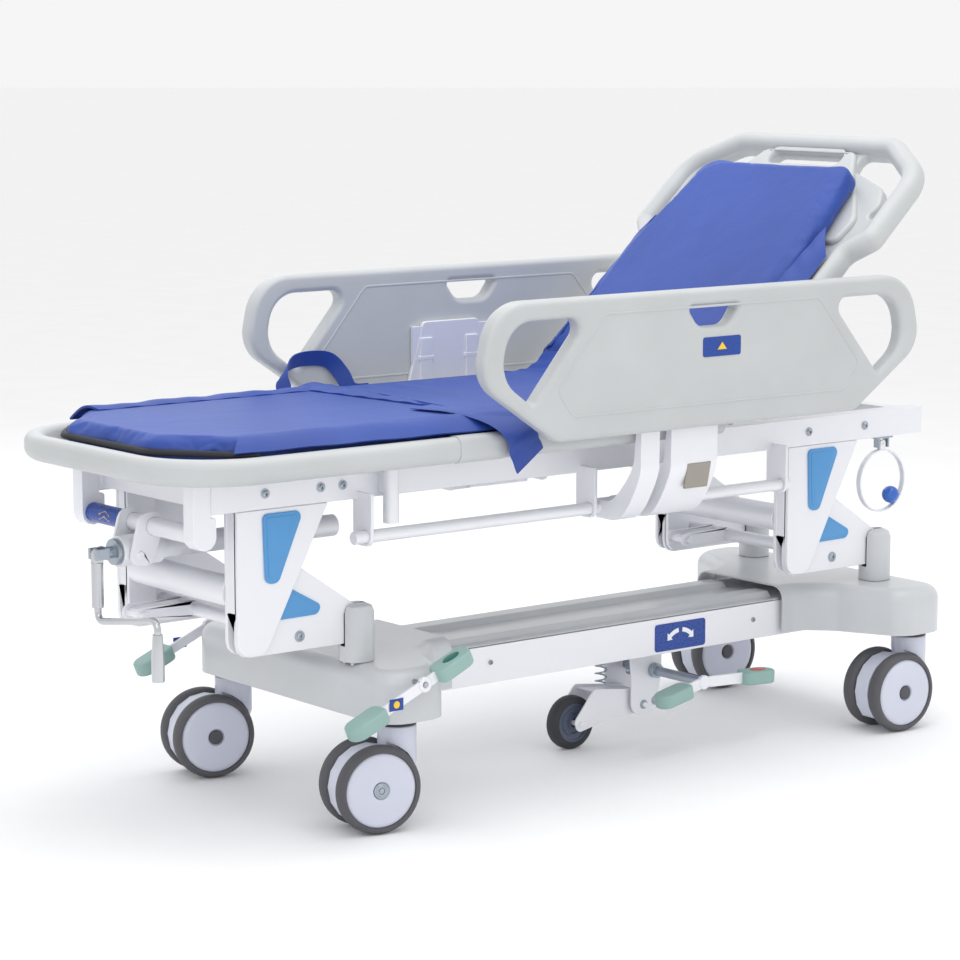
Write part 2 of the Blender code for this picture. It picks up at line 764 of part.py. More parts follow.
def make_crank_housing():
    """Clamp on the bumper bar that carries the sleeve of the crank shaft."""
    sleeve_end = CRANK_HUB_X + 0.090
    sleeve = rod((CRANK_HUB_X + 0.012, 0, CRANK_Z), (sleeve_end, 0, CRANK_Z), 0.026, 24)
    outline = rounded(
        [
            (BUMPER_X + 0.026, BUMPER_Z + 0.024, 0.02),
            (BUMPER_X - 0.026, BUMPER_Z + 0.024, 0.02),
            (CRANK_HUB_X + 0.014, CRANK_Z - 0.020, 0.016),
            (CRANK_HUB_X + 0.060, CRANK_Z - 0.024, 0.016),
        ]
    )
    plates = [prism(outline, low, low + 0.006, axis="Y") for low in (-0.034, 0.028)]
    cross_x, cross_z = CRANK_HUB_X + 0.036, CRANK_Z - 0.004
    cross = rod((cross_x, -0.037, cross_z), (cross_x, 0.037, cross_z), 0.007, 6)
    whole = fuse(sleeve, *plates, cross)
    bore = rod((CRANK_HUB_X, 0, CRANK_Z), (sleeve_end + 0.01, 0, CRANK_Z), 0.0104, 12)
    bar = rod((BUMPER_X, -0.05, BUMPER_Z), (BUMPER_X, 0.05, BUMPER_Z), BUMPER_RADIUS + GAP, 20)
    return cut(whole, bore, bar)


def make_screw_tube():
    """Tube over the lift screw, from the crank sleeve towards the head end."""
    start = CRANK_HUB_X + 0.090 + GAP
    tube = rod((start, 0, CRANK_Z), (-0.560, 0, CRANK_Z), 0.019, 20)
    bore = rod((start - 0.01, 0, CRANK_Z), (-0.570, 0, CRANK_Z), 0.0125, 12)
    return cut(tube, bore)


def make_rail_shaft(sign):
    """Long shaft under a frame tube, about which a side rail swings."""
    y = sign * RAIL_SHAFT_Y
    return rod((-0.668, y, RAIL_SHAFT_Z), (0.318, y, RAIL_SHAFT_Z), RAIL_SHAFT_RADIUS, 12)


def make_pole_socket():
    """Socket for a drip pole, clamped under the near frame tube."""
    x, y = -0.588, -FRAME_Y - 0.020
    tube = rod((x, y, 0.505), (x, y, 0.596), 0.0135, 20)
    lug = box((x - 0.012, y, FRAME_BOTTOM + 0.008), (x + 0.012, -FRAME_Y - GAP, FRAME_TOP - 0.010))
    bore = rod((x, y, 0.515), (x, y, 0.606), 0.0095, 20)
    return cut(fuse(tube, lug), bore)


def make_ring_hanger():
    """Fork under the head end of the near frame tube, which holds the ring's pin."""
    x, y = 0.600, -FRAME_Y + 0.015
    top = FRAME_BOTTOM - GAP
    plate = box((x - 0.022, y - 0.009, top - 0.004), (x + 0.022, y + 0.009, top))
    cheeks = []
    for step in (-0.012, 0.012):
        low = (x + step - 0.002, y - 0.007, top - 0.022)
        cheeks.append(box(low, (x + step + 0.002, y + 0.007, top - 0.002)))
    pin = rod((x - 0.013, y, top - 0.015), (x + 0.013, y, top - 0.015), 0.003, 10)
    return fuse(plate, *cheeks, pin)


def make_ring():
    """Flat ring that hangs from the fork and carries a ball."""
    x, y = 0.600, -FRAME_Y + 0.015
    pin_z = FRAME_BOTTOM - GAP - 0.015
    radius, wall = 0.0605, 0.0035
    centre_z = pin_z - radius - 0.010
    band = prism(
        arc((x, centre_z), radius, 0, 360, 24)[:-1],
        y - 0.0055,
        y + 0.0055,
        axis="Y",
        holes=[arc((x, centre_z), radius - wall, 0, 360, 24)[:-1]],
    )
    eye = box((x - 0.007, y - 0.0045, centre_z + radius - 0.003), (x + 0.007, y + 0.0045, pin_z + 0.007))
    whole = fuse(band, eye)
    return cut(whole, rod((x - 0.02, y, pin_z), (x + 0.02, y, pin_z), 0.0036, 10))


def make_ring_ball():
    x, y = 0.600, -FRAME_Y + 0.015
    centre_z = FRAME_BOTTOM - GAP - 0.015 - 0.0605 - 0.010
    angle = math.radians(-48)
    reach = 0.0605 - 0.0035 - 0.0165 - GAP
    place = Vector((x + reach * math.cos(angle), y, centre_z + reach * math.sin(angle)))
    shape = bmesh.new()
    bmesh.ops.create_uvsphere(shape, u_segments=12, v_segments=8, radius=0.0165)
    return placed(shape, place)


# Deck


def tray(outline_at, low, rim, floor, cutter_grow):
    """A board with a raised rounded rim. outline_at(inset, grow) gives its plan."""
    levels = [(0.010, low), (0.0, low + 0.012), (0.0, rim - 0.014), (0.004, rim - 0.004), (0.012, rim)]
    board = loft([[(x, y, z) for x, y in outline_at(inset, 0.0)] for inset, z in levels])
    wells = [
        (RIM_WIDTH + 0.006, floor),
        (RIM_WIDTH, floor + 0.008),
        (RIM_WIDTH - 0.010, rim - 0.002),
        (RIM_WIDTH - 0.014, rim + 0.005),
    ]
    well = loft([[(x, y, z) for x, y in outline_at(inset, cutter_grow)] for inset, z in wells])
    return cut(board, well)


def leg_section_outline(inset, grow):
    foot = DECK_FOOT_X + inset
    side = DECK_HALF_WIDTH - inset
    corner = DECK_CORNER - inset
    corners = [
        (foot, -side, corner),
        (DECK_SEAM_X - GAP + grow, -side, 0),
        (DECK_SEAM_X - GAP + grow, side, 0),
        (foot, side, corner),
    ]
    return rounded(corners, 6)


def make_leg_section():
    return tray(leg_section_outline, DECK_BOTTOM, DECK_RIM_TOP, DECK_FLOOR, 0.03)


def seat_section_outline(inset, grow):
    side = DECK_HALF_WIDTH - inset
    start, end = DECK_SEAM_X + GAP - grow, DECK_HINGE_X + grow
    return rectangle((start, -side), (end, side))


def make_seat_section():
    return tray(seat_section_outline, DECK_BOTTOM, DECK_RIM_TOP, DECK_FLOOR, 0.03)


def back_half_outline(inset, grow):
    """Half plan of the back section, from the hinge to the head, on the +Y side."""
    start = BACK_HINGE_X - grow
    narrow = DECK_HALF_WIDTH - 0.012 - inset
    wide = HEAD_HALF_WIDTH - inset
    far = BACK_HINGE_X + BACK_LENGTH - inset
    step = BACK_HINGE_X + 0.415 + inset
    return [
        (start, narrow, 0),
        (step - 0.020, narrow, 0.015),
        (step + 0.020, wide, 0.030),
        (far - 0.155, wide, 0.120),
        (far - 0.020, wide - 0.125, 0.040),
        (far, wide - 0.150, 0.020),
    ]


def back_outline(inset, grow):
    half = back_half_outline(inset, grow)
    return rounded(half + [(x, -y, r) for x, y, r in reversed(half)], 3)


def back_window(sign):
    """Crescent opening at a head corner, between the rim and the head board."""
    x, y = BACK_HINGE_X + BACK_LENGTH, HEAD_HALF_WIDTH
    corners = [
        (x - 0.048, y - 0.215, 0.016),
        (x - 0.044, y - 0.165, 0.030),
        (x - 0.150, y - 0.052, 0.060),
        (x - 0.235, y - 0.062, 0.022),
        (x - 0.190, y - 0.098, 0.022),
        (x - 0.085, y - 0.165, 0.050),
    ]
    outline = rounded(corners, 3)
    return [(a, sign * b) for a, b in outline]


def make_back_section():
    """Moulded back board with its tube-like rim and the openings at the head."""
    board = tray(back_outline, DECK_BOTTOM, DECK_RIM_TOP, DECK_FLOOR, 0.03)
    low, high = DECK_BOTTOM - 0.01, DECK_RIM_TOP + 0.01
    end = BACK_HINGE_X + BACK_LENGTH
    slot = rectangle((end - 0.075, -0.092), (end - 0.043, 0.092), 0.014, 3)
    cutters = [prism(back_window(1), low, high), prism(back_window(-1), low, high)]
    cutters.append(prism(slot, low, high))
    hinge_relief = box(
        (BACK_HINGE_X - 0.01, -DECK_HALF_WIDTH, DECK_BOTTOM - 0.01),
        (BACK_HINGE_X + 0.004, DECK_HALF_WIDTH, DECK_BOTTOM + 0.008),
    )
    return cut(board, *cutters, hinge_relief)


# Mattress


def make_mattress_leg():
    """Leg and seat part of the mattress, tapered at the foot."""
    half = MATTRESS_HALF_WIDTH
    low, high = DECK_FLOOR + 0.002, DECK_FLOOR + 0.002 + MATTRESS_THICKNESS
    corners = [
        (DECK_FOOT_X + 0.056, -0.130, 0.04),
        (DECK_FOOT_X + 0.230, -half, 0.08),
        (BACK_HINGE_X - 0.030, -half, 0),
        (BACK_HINGE_X - 0.030, half, 0),
        (DECK_FOOT_X + 0.230, half, 0.08),
        (DECK_FOOT_X + 0.056, 0.130, 0.04),
    ]
    return prism(rounded(corners, 3), low, high)


def make_mattress_back():
    """Back part of the mattress, narrower towards the head."""
    half = DECK_HALF_WIDTH - 0.012 - RIM_WIDTH - 0.010
    low, high = DECK_FLOOR + 0.002, DECK_FLOOR + 0.002 + MATTRESS_THICKNESS
    start, end = BACK_HINGE_X + 0.045, BACK_HINGE_X + 0.560
    corners = [
        (start, -half, 0.01),
        (start + 0.22, -half, 0.05),
        (end, -0.190, 0.05),
        (end, 0.190, 0.05),
        (start + 0.22, half, 0.05),
        (start, half, 0.01),
    ]
    return prism(rounded(corners, 3), low, high)


# Side rails


def rail_outline(inset=0.0):
    """Outline of a side rail in X and Z, with its slanted lower corners."""
    half = RAIL_HALF_LENGTH - inset
    low, high = RAIL_BOTTOM + inset, RAIL_TOP - inset
    cx = RAIL_MIDDLE_X
    corners = [
        (cx - half + 0.165, low, 0.045),
        (cx + half - 0.165, low, 0.045),
        (cx + half, high - 0.130, 0.060),
        (cx + half - 0.030, high, 0.080),
        (cx - half + 0.030, high, 0.080),
        (cx - half, high - 0.130, 0.060),
    ]
    return rounded(corners, 4)


def rail_window(sign):
    """D-shaped opening at one end of a side rail."""
    outer = RAIL_MIDDLE_X + sign * (RAIL_HALF_LENGTH - 0.042)
    high = RAIL_TOP - 0.033
    corners = [
        (outer - sign * 0.188, high, 0.016),
        (outer - sign * 0.020, high, 0.060),
        (outer, high - 0.092, 0.050),
        (outer - sign * 0.066, high - 0.140, 0.012),
    ]
    return rounded(corners, 3)


def rail_hand_hole():
    """Hand hole: straight above and curved below."""
    cx, top = RAIL_MIDDLE_X, RAIL_TOP - 0.030
    corners = [
        (cx - 0.058, top, 0.006),
        (cx + 0.058, top, 0.006),
        (cx + 0.032, top - 0.036, 0.030),
        (cx - 0.032, top - 0.036, 0.030),
    ]
    return rounded(corners, 3)


def make_side_rail(sign):
    """Blow-moulded side rail with two windows and a hand hole."""
    half = RAIL_THICKNESS / 2
    middle = sign * RAIL_Y
    lower = [(0.009, -half), (0.002, -half + 0.004), (0.0, -half + 0.011)]
    levels = lower + [(depth, -height) for depth, height in reversed(lower)]
    rail = loft([[(x, middle + y, z) for x, z in rail_outline(inset)] for inset, y in levels])
    reach = half + 0.01
    outlines = (rail_window(-1), rail_window(1), rail_hand_hole())
    openings = [prism(o, middle - reach, middle + reach, axis="Y") for o in outlines]
    return cut(rail, *openings)


def make_rail_arms(sign):
    """Curved arms that carry a side rail, with the tube that turns on the rail shaft."""
    y0, z0 = RAIL_SHAFT_Y, RAIL_SHAFT_Z
    rail_inner = RAIL_Y - RAIL_THICKNESS / 2 - GAP
    outer_y = rail_inner
    inside = [
        (y0 - 0.004, z0 + 0.016),
        (y0 + 0.040, z0 + 0.020),
        (outer_y - 0.026, z0 + 0.075),
        (outer_y - 0.016, z0 + 0.125),
        (outer_y - 0.012, RAIL_BOTTOM + 0.016),
    ]
    outside = [
        (outer_y, RAIL_BOTTOM + 0.030),
        (outer_y, z0 + 0.110),
        (outer_y - 0.006, z0 + 0.060),
        (y0 + 0.062, z0 - 0.010),
        (y0 - 0.004, z0 - 0.018),
    ]
    curve = [(sign * y, z) for y, z in inside + outside]
    shapes = []
    for start, end in ((-0.141, -0.098), (-0.072, 0.037)):
        shapes.append(prism(curve, start, end, axis="X"))
    plate_low = (outer_y - 0.008, RAIL_BOTTOM + 0.014)
    plate_high = (outer_y - 0.0005, RAIL_TOP - 0.110)
    outline = [(sign * y, z) for y, z in rectangle(plate_low, plate_high, 0.002, 1)]
    plate = prism(outline, -0.150, 0.046, axis="X")
    sleeve = rod((-0.106, sign * y0, z0), (0.030, sign * y0, z0), 0.018, 20)
    whole = fuse(shapes[0], shapes[1], plate, sleeve)
    bore = rod((-0.16, sign * y0, z0), (0.06, sign * y0, z0), RAIL_SHAFT_RADIUS + PIN_GAP, 12)
    return cut(whole, bore)


# Crank


def make_crank_shaft():
    """Crank shaft with its flange and the fork of the universal joint."""
    x = CRANK_HUB_X - CRANK_OFFSET
    start, end = x + 0.012, CRANK_HUB_X + 0.095
    shaft = rod((start, 0, CRANK_Z), (end, 0, CRANK_Z), 0.010, 12)
    flange = rod((CRANK_HUB_X + 0.003, 0, CRANK_Z), (CRANK_HUB_X + 0.010, 0, CRANK_Z), 0.022, 20)
    web = box((x + 0.011, -0.013, CRANK_Z - 0.010), (x + 0.017, 0.013, CRANK_Z + 0.010))
    inner, outer = CRANK_EYE_HALF + 0.0006, 0.013
    cheeks = []
    for sign in (-1, 1):
        low, high = sorted((sign * inner, sign * outer))
        cheeks.append(box((x - 0.009, low, CRANK_Z - 0.009), (x + 0.013, high, CRANK_Z + 0.009)))
    pin = rod((x, -0.012, CRANK_Z), (x, 0.012, CRANK_Z), CRANK_PIN_RADIUS, 10)
    return fuse(shaft, flange, web, *cheeks, pin)


def make_crank():
    """Folding arm and elbow of the lift crank, with the eye of the universal joint."""
    x = CRANK_HUB_X - CRANK_OFFSET
    path = [
        (x, 0, CRANK_Z - 0.080),
        (x, 0, CRANK_Z - CRANK_ELBOW_DROP),
        (x, -CRANK_THROW, CRANK_Z - CRANK_THROW_DROP),
        (x, -CRANK_THROW, CRANK_Z - CRANK_GRIP_DROP - 0.014),
    ]
    arm = bent_rod(path, 0.006)
    sleeve = rod((x, 0, CRANK_Z - 0.087), (x, 0, CRANK_Z - 0.014), 0.010, 12)
    eye = prism(
        rounded(
            [
                (x - 0.0085, CRANK_Z - 0.018, 0),
                (x + 0.0085, CRANK_Z - 0.018, 0),
                (x + 0.0085, CRANK_Z + 0.0085, 0.008),
                (x - 0.0085, CRANK_Z + 0.0085, 0.008),
            ]
        ),
        -CRANK_EYE_HALF,
        CRANK_EYE_HALF,
        axis="Y",
    )
    bore = rod((x, -0.02, CRANK_Z), (x, 0.02, CRANK_Z), CRANK_PIN_RADIUS + PIN_GAP, 10)
    return cut(fuse(arm, sleeve, eye), bore)


def make_crank_grip():
    """Hand grip that turns on the end of the crank."""
    x, y = CRANK_HUB_X - CRANK_OFFSET, -CRANK_THROW
    top = CRANK_Z - CRANK_GRIP_DROP
    low = top - CRANK_GRIP_LENGTH
    profile = [(0.0085, low), (0.0105, low + 0.015), (0.0105, top - 0.030), (0.008, top)]
    sleeve = turned(profile, (x, y, 0), segments=16)
    return cut(sleeve, rod((x, y, top - 0.018), (x, y, top + 0.01), 0.0064, 14))


# Pedals


def lever_pedal(hub, ends, width, thickness):
    """Flat lever with pads. ends lists (dx, dz) of the pads from the hub, in XZ."""
    x, y, z = hub
    shapes = [rod((x, y - thickness / 2 - 0.001, z), (x, y + thickness / 2 + 0.001, z), 0.013, 18)]
    for dx, dz in ends:
        along = Vector((dx, dz)).normalized()
        across = Vector((-along.y, along.x)) * width / 2
        reach = Vector((dx, dz))
        quad = [across, -across, reach * 0.75 - across, reach * 0.75 + across]
        outline = [(x + p.x, z + p.y) for p in quad]
        shapes.append(prism(outline, y - thickness / 2, y + thickness / 2, axis="Y"))
        middle = Vector((x, z)) + reach
        pad = rectangle((-0.036, -0.020), (0.036, 0.020), 0.018, 4)
        slab = prism(pad, -0.011, 0.011)
        tilt = math.degrees(math.atan2(-along.y, along.x))
        shapes.append(placed(slab, (middle.x, y, middle.y), tilt, "Y"))
    return fuse(*shapes)


def make_brake_shaft():
    """Hexagonal shaft that joins the two brake pedals through the foot castors."""
    reach = BRAKE_PEDAL_Y + 0.006
    ends = [(BRAKE_SHAFT_X, y, BRAKE_SHAFT_Z) for y in (-reach, reach)]
    return rod(*ends, BRAKE_SHAFT_RADIUS, 6)


def make_brake_pedal(sign):
    """One brake pedal with its two pads and the hexagonal bore of the shaft."""
    hub = (BRAKE_SHAFT_X, sign * BRAKE_PEDAL_Y, BRAKE_SHAFT_Z)
    pedal = lever_pedal(hub, [(-0.118, -0.050), (0.058, 0.026)], 0.018, 0.006)
    ends = [(BRAKE_SHAFT_X, sign * (BRAKE_PEDAL_Y + step), BRAKE_SHAFT_Z) for step in (-0.03, 0.03)]
    return cut(pedal, rod(*ends, BRAKE_SHAFT_RADIUS + PIN_GAP, 6))


# Steering wheel under the beam


def make_steer_bracket():
    """Two plates bolted inside the beam, with the pivots of the wheel fork and shaft."""
    outline = rounded(
        [
            (STEER_SHAFT_X - 0.058, BEAM_BOTTOM + 0.030, 0),
            (STEER_SHAFT_X - 0.058, BEAM_BOTTOM - 0.012, 0.010),
            (STEER_PIVOT_X - 0.030, STEER_PIVOT_Z + 0.050, 0.020),
            (STEER_PIVOT_X - 0.030, STEER_PIVOT_Z - 0.018, 0.020),
            (STEER_PIVOT_X + 0.028, STEER_PIVOT_Z - 0.018, 0.020),
            (STEER_SHAFT_X + 0.020, STEER_SHAFT_Z - 0.008, 0.020),
            (STEER_SHAFT_X + 0.020, BEAM_BOTTOM + 0.030, 0),
        ]
    )
    holes = [arc((STEER_SHAFT_X, STEER_SHAFT_Z), STEER_SHAFT_RADIUS + PIN_GAP, 0, 360, 12)[:-1]]
    plates = []
    for low in (-STEER_BRACKET_Y - 0.004, STEER_BRACKET_Y):
        plates.append(prism(outline, low, low + 0.004, axis="Y", holes=holes))
    pin = rod((STEER_PIVOT_X, -0.046, STEER_PIVOT_Z), (STEER_PIVOT_X, 0.046, STEER_PIVOT_Z), 0.005, 12)
    top = box(
        (STEER_SHAFT_X - 0.058, -BEAM_HALF_WIDTH + BEAM_WALL + GAP, BEAM_BOTTOM + 0.024),
        (STEER_SHAFT_X + 0.020, BEAM_HALF_WIDTH - BEAM_WALL - GAP, BEAM_BOTTOM + 0.030),
    )
    return fuse(top, *plates, pin)


def make_steer_fork():
    """Channel arm that trails from the bracket to the steering wheel."""
    outline = rounded(
        [
            (STEER_PIVOT_X + 0.016, STEER_PIVOT_Z - 0.016, 0.014),
            (STEER_PIVOT_X + 0.016, STEER_PIVOT_Z + 0.026, 0.014),
            (STEER_WHEEL_X + 0.034, STEER_PIVOT_Z + 0.042, 0.010),
            (STEER_WHEEL_X - 0.014, STEER_WHEEL_RADIUS + 0.006, 0.012),
            (STEER_WHEEL_X - 0.006, STEER_WHEEL_RADIUS - 0.016, 0.012),
            (STEER_WHEEL_X + 0.050, STEER_WHEEL_RADIUS - 0.004, 0.010),
        ]
    )
    holes = [arc((STEER_PIVOT_X, STEER_PIVOT_Z), 0.005 + PIN_GAP, 0, 360, 12)[:-1]]
    plates = []
    for low in (-0.030, 0.026):
        plates.append(prism(outline, low, low + 0.004, axis="Y", holes=holes))
    top_outline = [
        (STEER_WHEEL_X + 0.040, STEER_PIVOT_Z + 0.036),
        (STEER_PIVOT_X + 0.006, STEER_PIVOT_Z + 0.0235),
        (STEER_PIVOT_X + 0.006, STEER_PIVOT_Z + 0.0195),
        (STEER_WHEEL_X + 0.040, STEER_PIVOT_Z + 0.032),
    ]
    top = prism(top_outline, -0.028, 0.028, axis="Y")
    axle = rod(*[(STEER_WHEEL_X, y, STEER_WHEEL_RADIUS) for y in (-0.034, 0.034)], 0.005, 12)
    return fuse(top, *plates, axle)


def make_steer_wheel():
    """Rubber-tyred wheel with its hub bore."""
    profile = [
        (0.0054, -0.018),
        (0.014, -0.018),
        (0.016, -0.014),
        (0.030, -0.012),
        (0.034, -0.016),
        (STEER_WHEEL_RADIUS - 0.008, -0.016),
        (STEER_WHEEL_RADIUS - 0.001, -0.009),
        (STEER_WHEEL_RADIUS, 0.0),
    ]
    ring = profile + [(r, -h) for r, h in reversed(profile[:-1])]
    return turned(ring, (STEER_WHEEL_X, 0, STEER_WHEEL_RADIUS), "Y", 18, closed=True)


def make_steer_spring():
    """Coil spring that presses the fork down from the bracket."""
    x = STEER_WHEEL_X + 0.074
    low, high, turns, radius, wire = STEER_PIVOT_Z + 0.040, BEAM_BOTTOM + 0.006, 5, 0.0105, 0.0016
    rings = []
    steps = 10
    pitch = (high - low) / turns
    for i in range(turns * steps + 1):
        angle = 2 * math.pi * i / steps
        out = Vector((math.cos(angle), math.sin(angle), 0))
        centre = Vector((x, 0, low + pitch * i / steps)) + out * radius
        circle = arc((0, 0), wire, 0, 360, 5)[:-1]
        rings.append([centre + out * a + Vector((0, 0, b)) for a, b in circle])
    return loft(rings)


def make_steer_shaft():
    """Pedal shaft through the bracket plates, with the cam that lifts the fork."""
    y0, y1 = STEER_PEDAL_Y + 0.002, STEER_BRACKET_Y + 0.012
    shaft = rod(*[(STEER_SHAFT_X, y, STEER_SHAFT_Z) for y in (y0, y1)], STEER_SHAFT_RADIUS, 12)
    collar_y = -STEER_BRACKET_Y - 0.0045
    collar_ends = [(STEER_SHAFT_X, y, STEER_SHAFT_Z) for y in (collar_y - 0.012, collar_y)]
    collar = rod(*collar_ends, 0.014, 12)
    outline = rounded(
        [
            (STEER_SHAFT_X + 0.013, STEER_SHAFT_Z + 0.010, 0.009),
            (STEER_SHAFT_X + 0.013, STEER_SHAFT_Z - 0.014, 0.009),
            (STEER_SHAFT_X - 0.030, STEER_SHAFT_Z - 0.012, 0.007),
            (STEER_SHAFT_X - 0.030, STEER_SHAFT_Z + 0.002, 0.007),
        ]
    )
    cam = prism(outline, -0.006, 0.006, axis="Y")
    return fuse(shaft, collar, cam)


def make_steer_pedal():
    hub = (STEER_SHAFT_X, STEER_PEDAL_Y, STEER_SHAFT_Z)
    pedal = lever_pedal(hub, [(-0.074, -0.016), (0.132, -0.006)], 0.020, 0.006)
    start = (STEER_SHAFT_X, STEER_PEDAL_Y - 0.001, STEER_SHAFT_Z)
    end = (STEER_SHAFT_X, STEER_PEDAL_Y + 0.03, STEER_SHAFT_Z)
    return cut(pedal, rod(start, end, STEER_SHAFT_RADIUS + PIN_GAP, 12))


def main():
    clear_scene()
    origin_shift = -(DECK_FOOT_X + FRAME_HEAD_X) / 2
    add_body("root", (0, 0, 0))
    BODIES["root"][0].location.x = origin_shift
    add_solid("base_frame", "root", make_base_frame(), "white_powder_coat")
    add_solid("beam_cover", "root", make_beam_cover(), "warm_grey_plastic")
    for end, sign in HEAD_SIGNS.items():
        add_solid(f"base_cover_{end}", "root", make_base_cover(sign), "warm_grey_plastic")
        pivot_x = BASE_PIVOT_HEAD_X if sign > 0 else BASE_PIVOT_FOOT_X
        for side, side_sign in SIDE_SIGNS.items():
            cap = make_arm_cap(pivot_x, sign, side_sign)
            add_solid(f"arm_cap_{end}_{side}", "root", cap, "warm_grey_plastic")
    for name, x, y in castor_places():
        turn = math.radians(CASTOR_TURNS[name])
        add_body(f"castor_{name}", (x, y, 0), "root", (0, 0, turn))
        add_solid(f"castor_housing_{name}", f"castor_{name}", make_castor_housing(x, y), "castor_white")
        add_body(f"castor_wheel_{name}", (x - TRAIL, y, WHEEL_RADIUS), f"castor_{name}")
        add_solid(f"castor_wheel_{name}", f"castor_wheel_{name}", make_castor_wheel(x, y), "tyre_grey")
    build_lift()
    build_bed_frame()
    build_rails()
    build_controls()


def build_lift():
    for end, sign in HEAD_SIGNS.items():
        pivot_x = BASE_PIVOT_HEAD_X if sign > 0 else BASE_PIVOT_FOOT_X
        add_body(f"lift_arms_{end}", (pivot_x, 0, PIVOT_Z), "root")
        add_solid(f"lift_arms_{end}", f"lift_arms_{end}", make_swing_arms(pivot_x), "white_powder_coat")


def build_bed_frame():
    foot_top_x = BASE_PIVOT_FOOT_X - ARM_REACH
    head_top_x = BASE_PIVOT_HEAD_X - ARM_REACH
    add_body("bed", (foot_top_x, 0, PIVOT_Z), "lift_arms_foot")
    add_solid("bed_frame", "bed", make_bed_frame(), "white_powder_coat")
    for end, top_x in (("foot", foot_top_x), ("head", head_top_x)):
        for side, sign in SIDE_SIGNS.items():
            add_solid(f"lift_leg_{end}_{side}", "bed", make_lift_leg(top_x, sign), "white_powder_coat")
        add_solid(f"leg_tube_{end}", "bed", make_leg_tube(top_x), "white_powder_coat")
    add_solid("bumper_bar", "bed", make_bumper(), "white_powder_coat")
    add_solid("crank_housing", "bed", make_crank_housing(), "white_powder_coat")
    add_solid("lift_screw_tube", "bed", make_screw_tube(), "white_powder_coat")
    add_solid("pole_socket", "bed", make_pole_socket(), "white_powder_coat")
    add_solid("ring_hanger", "bed", make_ring_hanger(), "white_powder_coat")
    add_solid("deck_leg_section", "bed", make_leg_section(), "warm_grey_plastic")
    add_solid("deck_seat_section", "bed", make_seat_section(), "warm_grey_plastic")
    add_solid("mattress_leg", "bed", make_mattress_leg(), "royal_blue_fabric")
    add_body("back", (BACK_HINGE_X, 0, BACK_HINGE_Z), "bed", (0, -math.radians(BACK_ANGLE), 0))
    add_solid("back_section", "back", make_back_section(), "warm_grey_plastic")
    add_solid("mattress_back", "back", make_mattress_back(), "royal_blue_fabric")
    ring_pin_z = FRAME_BOTTOM - GAP - 0.015
    add_body("ring", (0.600, -FRAME_Y + 0.015, ring_pin_z), "bed")
    add_solid("ring_hook", "ring", make_ring(), "white_powder_coat")
    add_solid("ring_ball", "ring", make_ring_ball(), "ball_blue")


def build_rails():
    for side, sign in SIDE_SIGNS.items():
        add_solid(f"rail_shaft_{side}", "bed", make_rail_shaft(sign), "white_powder_coat")
        add_body(f"rail_{side}", (RAIL_MIDDLE_X, sign * RAIL_SHAFT_Y, RAIL_SHAFT_Z), "bed")
        add_solid(f"side_rail_{side}", f"rail_{side}", make_side_rail(sign), "warm_grey_plastic")
        add_solid(f"rail_arms_{side}", f"rail_{side}", make_rail_arms(sign), "white_powder_coat")


def build_controls():
    add_body("crank_shaft", (CRANK_HUB_X, 0, CRANK_Z), "bed")
    add_solid("crank_shaft", "crank_shaft", make_crank_shaft(), "chrome")
    crank_x = CRANK_HUB_X - CRANK_OFFSET
    add_body("crank", (crank_x, 0, CRANK_Z), "crank_shaft")
    add_solid("crank", "crank", make_crank(), "chrome")
    add_body("crank_grip", (crank_x, -CRANK_THROW, CRANK_Z - CRANK_GRIP_DROP), "crank")
    add_solid("crank_grip", "crank_grip", make_crank_grip(), "chrome")
    add_body("brake", (BRAKE_SHAFT_X, 0, BRAKE_SHAFT_Z), "root")
    add_solid("brake_shaft", "brake", make_brake_shaft(), "zinc_steel")
    for side, sign in SIDE_SIGNS.items():
        add_solid(f"brake_pedal_{side}", "brake", make_brake_pedal(sign), "pedal_white")
    add_solid("steer_bracket", "root", make_steer_bracket(), "white_powder_coat")
    add_solid("steer_spring", "root", make_steer_spring(), "zinc_steel")
    add_body("steer_fork", (STEER_PIVOT_X, 0, STEER_PIVOT_Z), "root")
    add_solid("steer_fork", "steer_fork", make_steer_fork(), "white_powder_coat")
    add_body("steer_wheel", (STEER_WHEEL_X, 0, STEER_WHEEL_RADIUS), "steer_fork")
    add_solid("steer_wheel", "steer_wheel", make_steer_wheel(), "tyre_grey")
    add_body("steer_pedal", (STEER_SHAFT_X, 0, STEER_SHAFT_Z), "root")
    add_solid("steer_shaft", "steer_pedal", make_steer_shaft(), "zinc_steel")
    add_solid("steer_pedal", "steer_pedal", make_steer_pedal(), "pedal_white")


main()
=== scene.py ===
"""Looks of a hospital transfer cot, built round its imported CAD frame.

Places along the cot are counted from the middle of the castor stems, in metres, and a
finished mesh is moved by STEM_SHIFT into the frame that the CAD uses.
"""

from __future__ import annotations

import json
import logging
import math
from collections.abc import Callable, Iterable, Sequence
from dataclasses import dataclass, field
from enum import Enum

import bmesh
import bpy
from mathutils import Matrix, Vector
from mathutils.geometry import delaunay_2d_cdt

